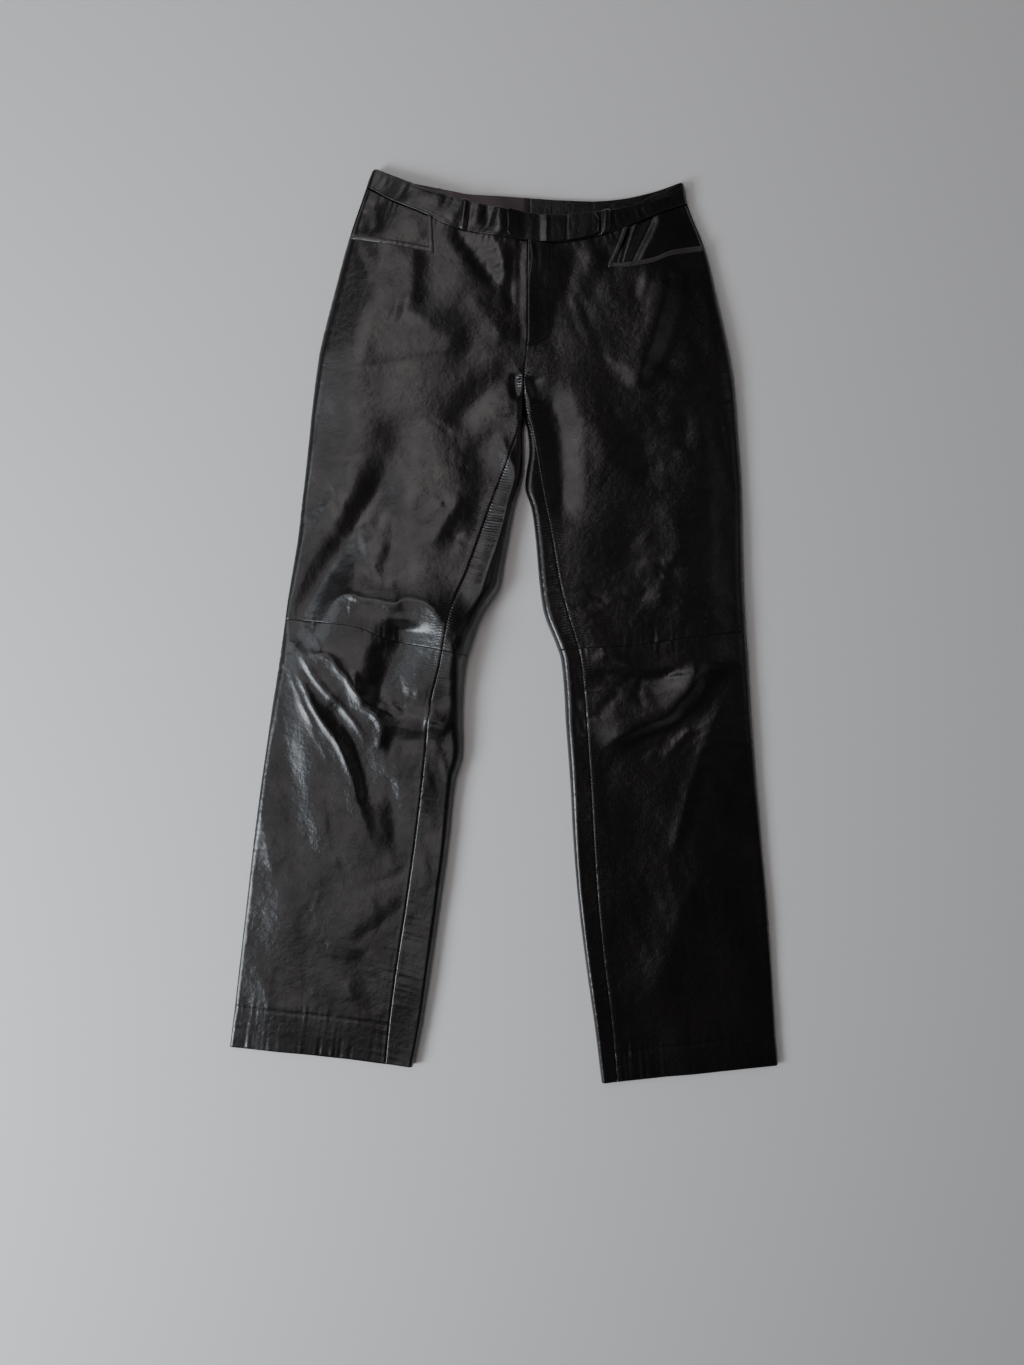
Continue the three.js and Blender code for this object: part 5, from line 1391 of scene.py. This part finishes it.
# %% [markdown]
# Belt loops are strips of leather folded in three and stitched down both edges. Two stand on the
# front and arch off the band a little. Three lie at the back, pressed between the band and the
# floor, and show only from behind. One cross-section serves them all, carried up the band's face
# in front and along the floor at the back.

# %% Belt loops
LOOP_WIDTH = 10.0
LOOP_STITCH = 1.9
# X of each front loop at its foot and at its top, and of the middle of each back loop
LOOP_ENDS = {"r": (-47.5, -43.0), "l": (115.6, 116.6)}
BACK_LOOPS = {"belt_loop_back_r": -78.0, "belt_loop_back_centre": 27.4, "belt_loop_back_l": 134.0}


def loop_shape(across, width, dome):
    """Cross-section of a folded strip: domed, with round edges, and a dip at each row of stitches."""
    edge = width / 2 - np.abs(across - 0.5) * width
    rise = dome * (1 - (2 * across - 1) ** 2)
    return rise + seam_roll(edge) - 0.3 * np.exp(-((edge - LOOP_STITCH) / 0.5) ** 2)


for side, (foot_x, top_x) in LOOP_ENDS.items():
    def loop_point(across, level):
        """A strip over the band's face, leaning from its foot to its top."""
        return band_face(lerp(foot_x, top_x, level) + (across - 0.5) * LOOP_WIDTH, lerp(-0.06, 0.985, level))

    loop = Sheet(loop_point, sewn_spread(0, 1, 14, (0.02, 0.06, 0.1), (0.02, 0.06, 0.1)),
                 sewn_spread(0, 1, 26, (0.01, 0.03), (0.01, 0.03)), 1)
    arch = np.sin(math.pi * np.clip(loop.place, 0, 1)) ** 0.6
    loop.push(1.5 + 1.6 * arch + loop_shape(loop.share, LOOP_WIDTH, 1.9)
              - 0.8 * (1 - smoothstep(loop.from_top, 0, 2)) - 0.8 * (1 - smoothstep(loop.from_foot, 0, 2)))
    SHEETS[side]["loop"] = loop
    cloth_piece(f"leather_belt_loop_front_{side}", f"belt_loop_front_{side}", loop, 1, thickness=1.7,
                material=TRIM_LEATHER)

for name, middle_x in BACK_LOOPS.items():
    def flat_loop_point(across, level):
        """A strip pressed flat under the back of the band."""
        x = middle_x + (across - 0.5) * LOOP_WIDTH
        y = lerp(WAIST["back_seam"](middle_x), WAIST["back_top"](middle_x), level) + 0 * across
        return np.stack([x, y, np.full(np.shape(x), 0.1)], axis=-1)

    across_lines = sewn_spread(0, 1, 12, (0.02, 0.06), (0.02, 0.06))
    loop = Sheet(flat_loop_point, across_lines, np.linspace(0, 1, 16), -1)
    loop.push(loop_shape(loop.share, LOOP_WIDTH, 0))
    cloth_piece(f"leather_{name}", name, loop, -1, thickness=1.6, material=TRIM_LEATHER)

# %% [markdown]
# Topstitching. The inseam has one row above the knee and two below it, always on the front
# panel. The knee seams, the pocket edges, the fly, the band, the tab and the loops have theirs
# close to the edge. The thread is black too, and shows as fine beads that catch the light.

# %% Topstitching
# Space between the twin rows of the inseam, and inset of the pocket's row from the strip's edge
TWIN_SPACING = 2.4
POCKET_STITCH = 1.1


def part_of(line, mask):
    """The points and directions of a line where the mask holds."""
    points, normals = line
    return points[mask], normals[mask]


def inner_side(line, thickness):
    """The same line on the other face of the leather."""
    points, normals = line
    return points - normals * thickness, -normals


for side, leg in LEGS.items():
    parts = SHEETS[side]
    thigh, shin, band, strip, loop = (parts[name] for name in ("thigh", "shin", "band", "edge", "loop"))
    below_crotch = thigh.place[:, 0] > 1.96
    stitch_rows(f"thread_inseam_{side}", [
        part_of(thigh.line(thigh.from_end, STITCH_INSET), below_crotch),
        shin.line(shin.from_end, STITCH_INSET), shin.line(shin.from_end, STITCH_INSET - TWIN_SPACING)])
    seen = thigh.share[0] > 0.02
    stitch_rows(f"thread_knee_{side}", [part_of(thigh.line(thigh.from_foot, STITCH_INSET), seen)])
    front = band.share[0] > BAND_SIDE + 0.004
    rows = [part_of(band.line(distance, inset), front) for distance in (band.from_top, band.from_foot)
            for inset in BAND_STITCHES]
    back = band.share[0] < BAND_SIDE * 0.9
    rows += [part_of(inner_side(band.line(band.from_foot, inset), BAND_SKIN), back)
             for inset in BAND_STITCHES]
    stitch_rows(f"thread_band_{side}", rows)
    stitch_rows(f"thread_pocket_{side}", [strip.line(strip.from_foot, POCKET_STITCH)])
    stitch_rows(f"thread_loop_{side}", [loop.line(loop.from_start, LOOP_STITCH),
                                        loop.line(loop.from_end, LOOP_STITCH)])

above_turn = placket.points[:, -1, 1] > FLY_FOOT_Y + 2
stitch_rows("thread_fly", [part_of(placket.line(placket.from_end, FLY_STITCH), above_turn)])
along_tab = (tab.share[0] > 0.03) & (tab.share[0] < 0.95)
up_tab = (tab.place[:, 0] > 0.1) & (tab.place[:, 0] < 0.9)
tab_sides = ((tab.from_top, along_tab), (tab.from_foot, along_tab), (tab.from_start, up_tab),
             (tab.from_end, up_tab))
stitch_rows("thread_tab", [part_of(tab.line(distance, TAB_STITCH), seen) for distance, seen in tab_sides])

# %% [markdown]
# The stage is a plain pale floor, large enough to fill the view. It lies a little under the
# trousers, so that no face of theirs shares its height.

# %% Floor
FLOOR_SIZE = 8.0
FLOOR_DROP = 0.0006
half = FLOOR_SIZE / 2
floor_mesh = bpy.data.meshes.new("floor")
floor_corners = [(x, y, -FLOOR_DROP) for x, y in ((-half, -half), (half, -half), (half, half), (-half, half))]
floor_mesh.from_pydata(floor_corners, [], [(0, 1, 2, 3)])
floor = bpy.data.objects.new("floor", floor_mesh)
bpy.context.scene.collection.objects.link(floor)
floor_finish = Finish("pale_floor")
floor_finish.feed(Base_Color=(0.82, 0.81, 0.8, 1), Roughness=0.75)
floor_mesh.materials.append(floor_finish.block)
print("floor", FLOOR_SIZE, "m square")

# %% [markdown]
# Black leather has hardly any colour of its own. What shows is what it mirrors, so each lamp is
# placed where the leather would mirror it. One window stands low to the viewer's left and a
# little towards the hems, and lays bluish highlights on the slopes that face it. A weaker one
# stands higher. Soft warm panels hang level, over the shin, the hip and far beyond the waist, and
# give the flat leather its grey. The last, to the right, is weak. Around them the room is dark
# overhead and pale near the horizon, as a studio with pale walls is.

# %% Lamps: name, place, aim, width and length, watts, colour
LAMPS = (
    ("window", (-1.75, -0.75, 1.15), (0, 0, 0), (1.0, 0.8), 40, (0.86, 0.93, 1.0)),
    ("window_high", (-1.8, 0.6, 2.0), (0, 0.1, 0), (0.8, 0.9), 7, (0.86, 0.93, 1.0)),
    ("soft_shin", (-0.68, -0.45, 2.2), (-0.68, -0.45, 0), (0.8, 1.4), 4.0, (1, 0.93, 0.93)),
    ("soft_hip", (-0.62, 1.0, 2.2), (-0.62, 1.0, 0), (0.85, 1.3), 6.6, (1, 0.92, 0.92)),
    ("soft_far", (-0.62, 2.3, 2.2), (-0.62, 2.3, 0), (0.85, 1.3), 4.2, (0.97, 0.95, 0.93)),
    ("soft_right", (2.0, 0.5, 2.2), (0, 0, 0), (1.2, 1.2), 1.5, (1.0, 0.97, 0.95)),
)
# The room's light by the height of a ray: 0 is the horizon and 1 straight up
ROOM_LIGHT = [(0.0, 0.42), (0.2, 0.28), (0.5, 0.022)]

for name, place, aim, size, watts, colour in LAMPS:
    light = bpy.data.lights.new(name, "AREA")
    light.shape, light.size, light.size_y = "RECTANGLE", *size
    light.energy, light.color = watts, colour
    lamp = bpy.data.objects.new(name, light)
    bpy.context.scene.collection.objects.link(lamp)
    lamp.location = place
    lamp.rotation_euler = Vector(np.subtract(aim, place)).to_track_quat("-Z", "Y").to_euler()
    print("lamp", name, watts, "W")

studio = Finish("studio", bpy.data.worlds, "Background")
bpy.context.scene.world = studio.block
ray = studio.node("ShaderNodeTexCoord", out="Generated")
ray_height = studio.node("ShaderNodeSeparateXYZ", None, Vector=ray, out=2)
studio.feed(Color=(0.95, 0.96, 1.0, 1), Strength=studio.ramp(ray_height, ROOM_LIGHT))

# %% [markdown]
# The camera looks straight down from a little over a metre, about as high as it is held over
# clothes on a floor. Its height sets how much nearer the tall folds look than the hems, and its
# lens is worked out from the picture's height and its focal length in the same pixels.

# %% Camera
CAMERA_HEIGHT = 1.189
CAMERA_X = 0.0093
CAMERA_Y = -0.0673
FOCAL_PIXELS = 1025.0
IMAGE_HEIGHT = 1365.0
SENSOR = 36.0
camera_data = bpy.data.cameras.new("camera")
camera_data.sensor_width = SENSOR
camera_data.lens = SENSOR * FOCAL_PIXELS / IMAGE_HEIGHT
camera = bpy.data.objects.new("camera", camera_data)
camera.location = (CAMERA_X, CAMERA_Y, CAMERA_HEIGHT)
bpy.context.scene.collection.objects.link(camera)
bpy.context.scene.camera = camera
print("lens", round(camera_data.lens, 2), "mm on a", SENSOR, "mm sensor")
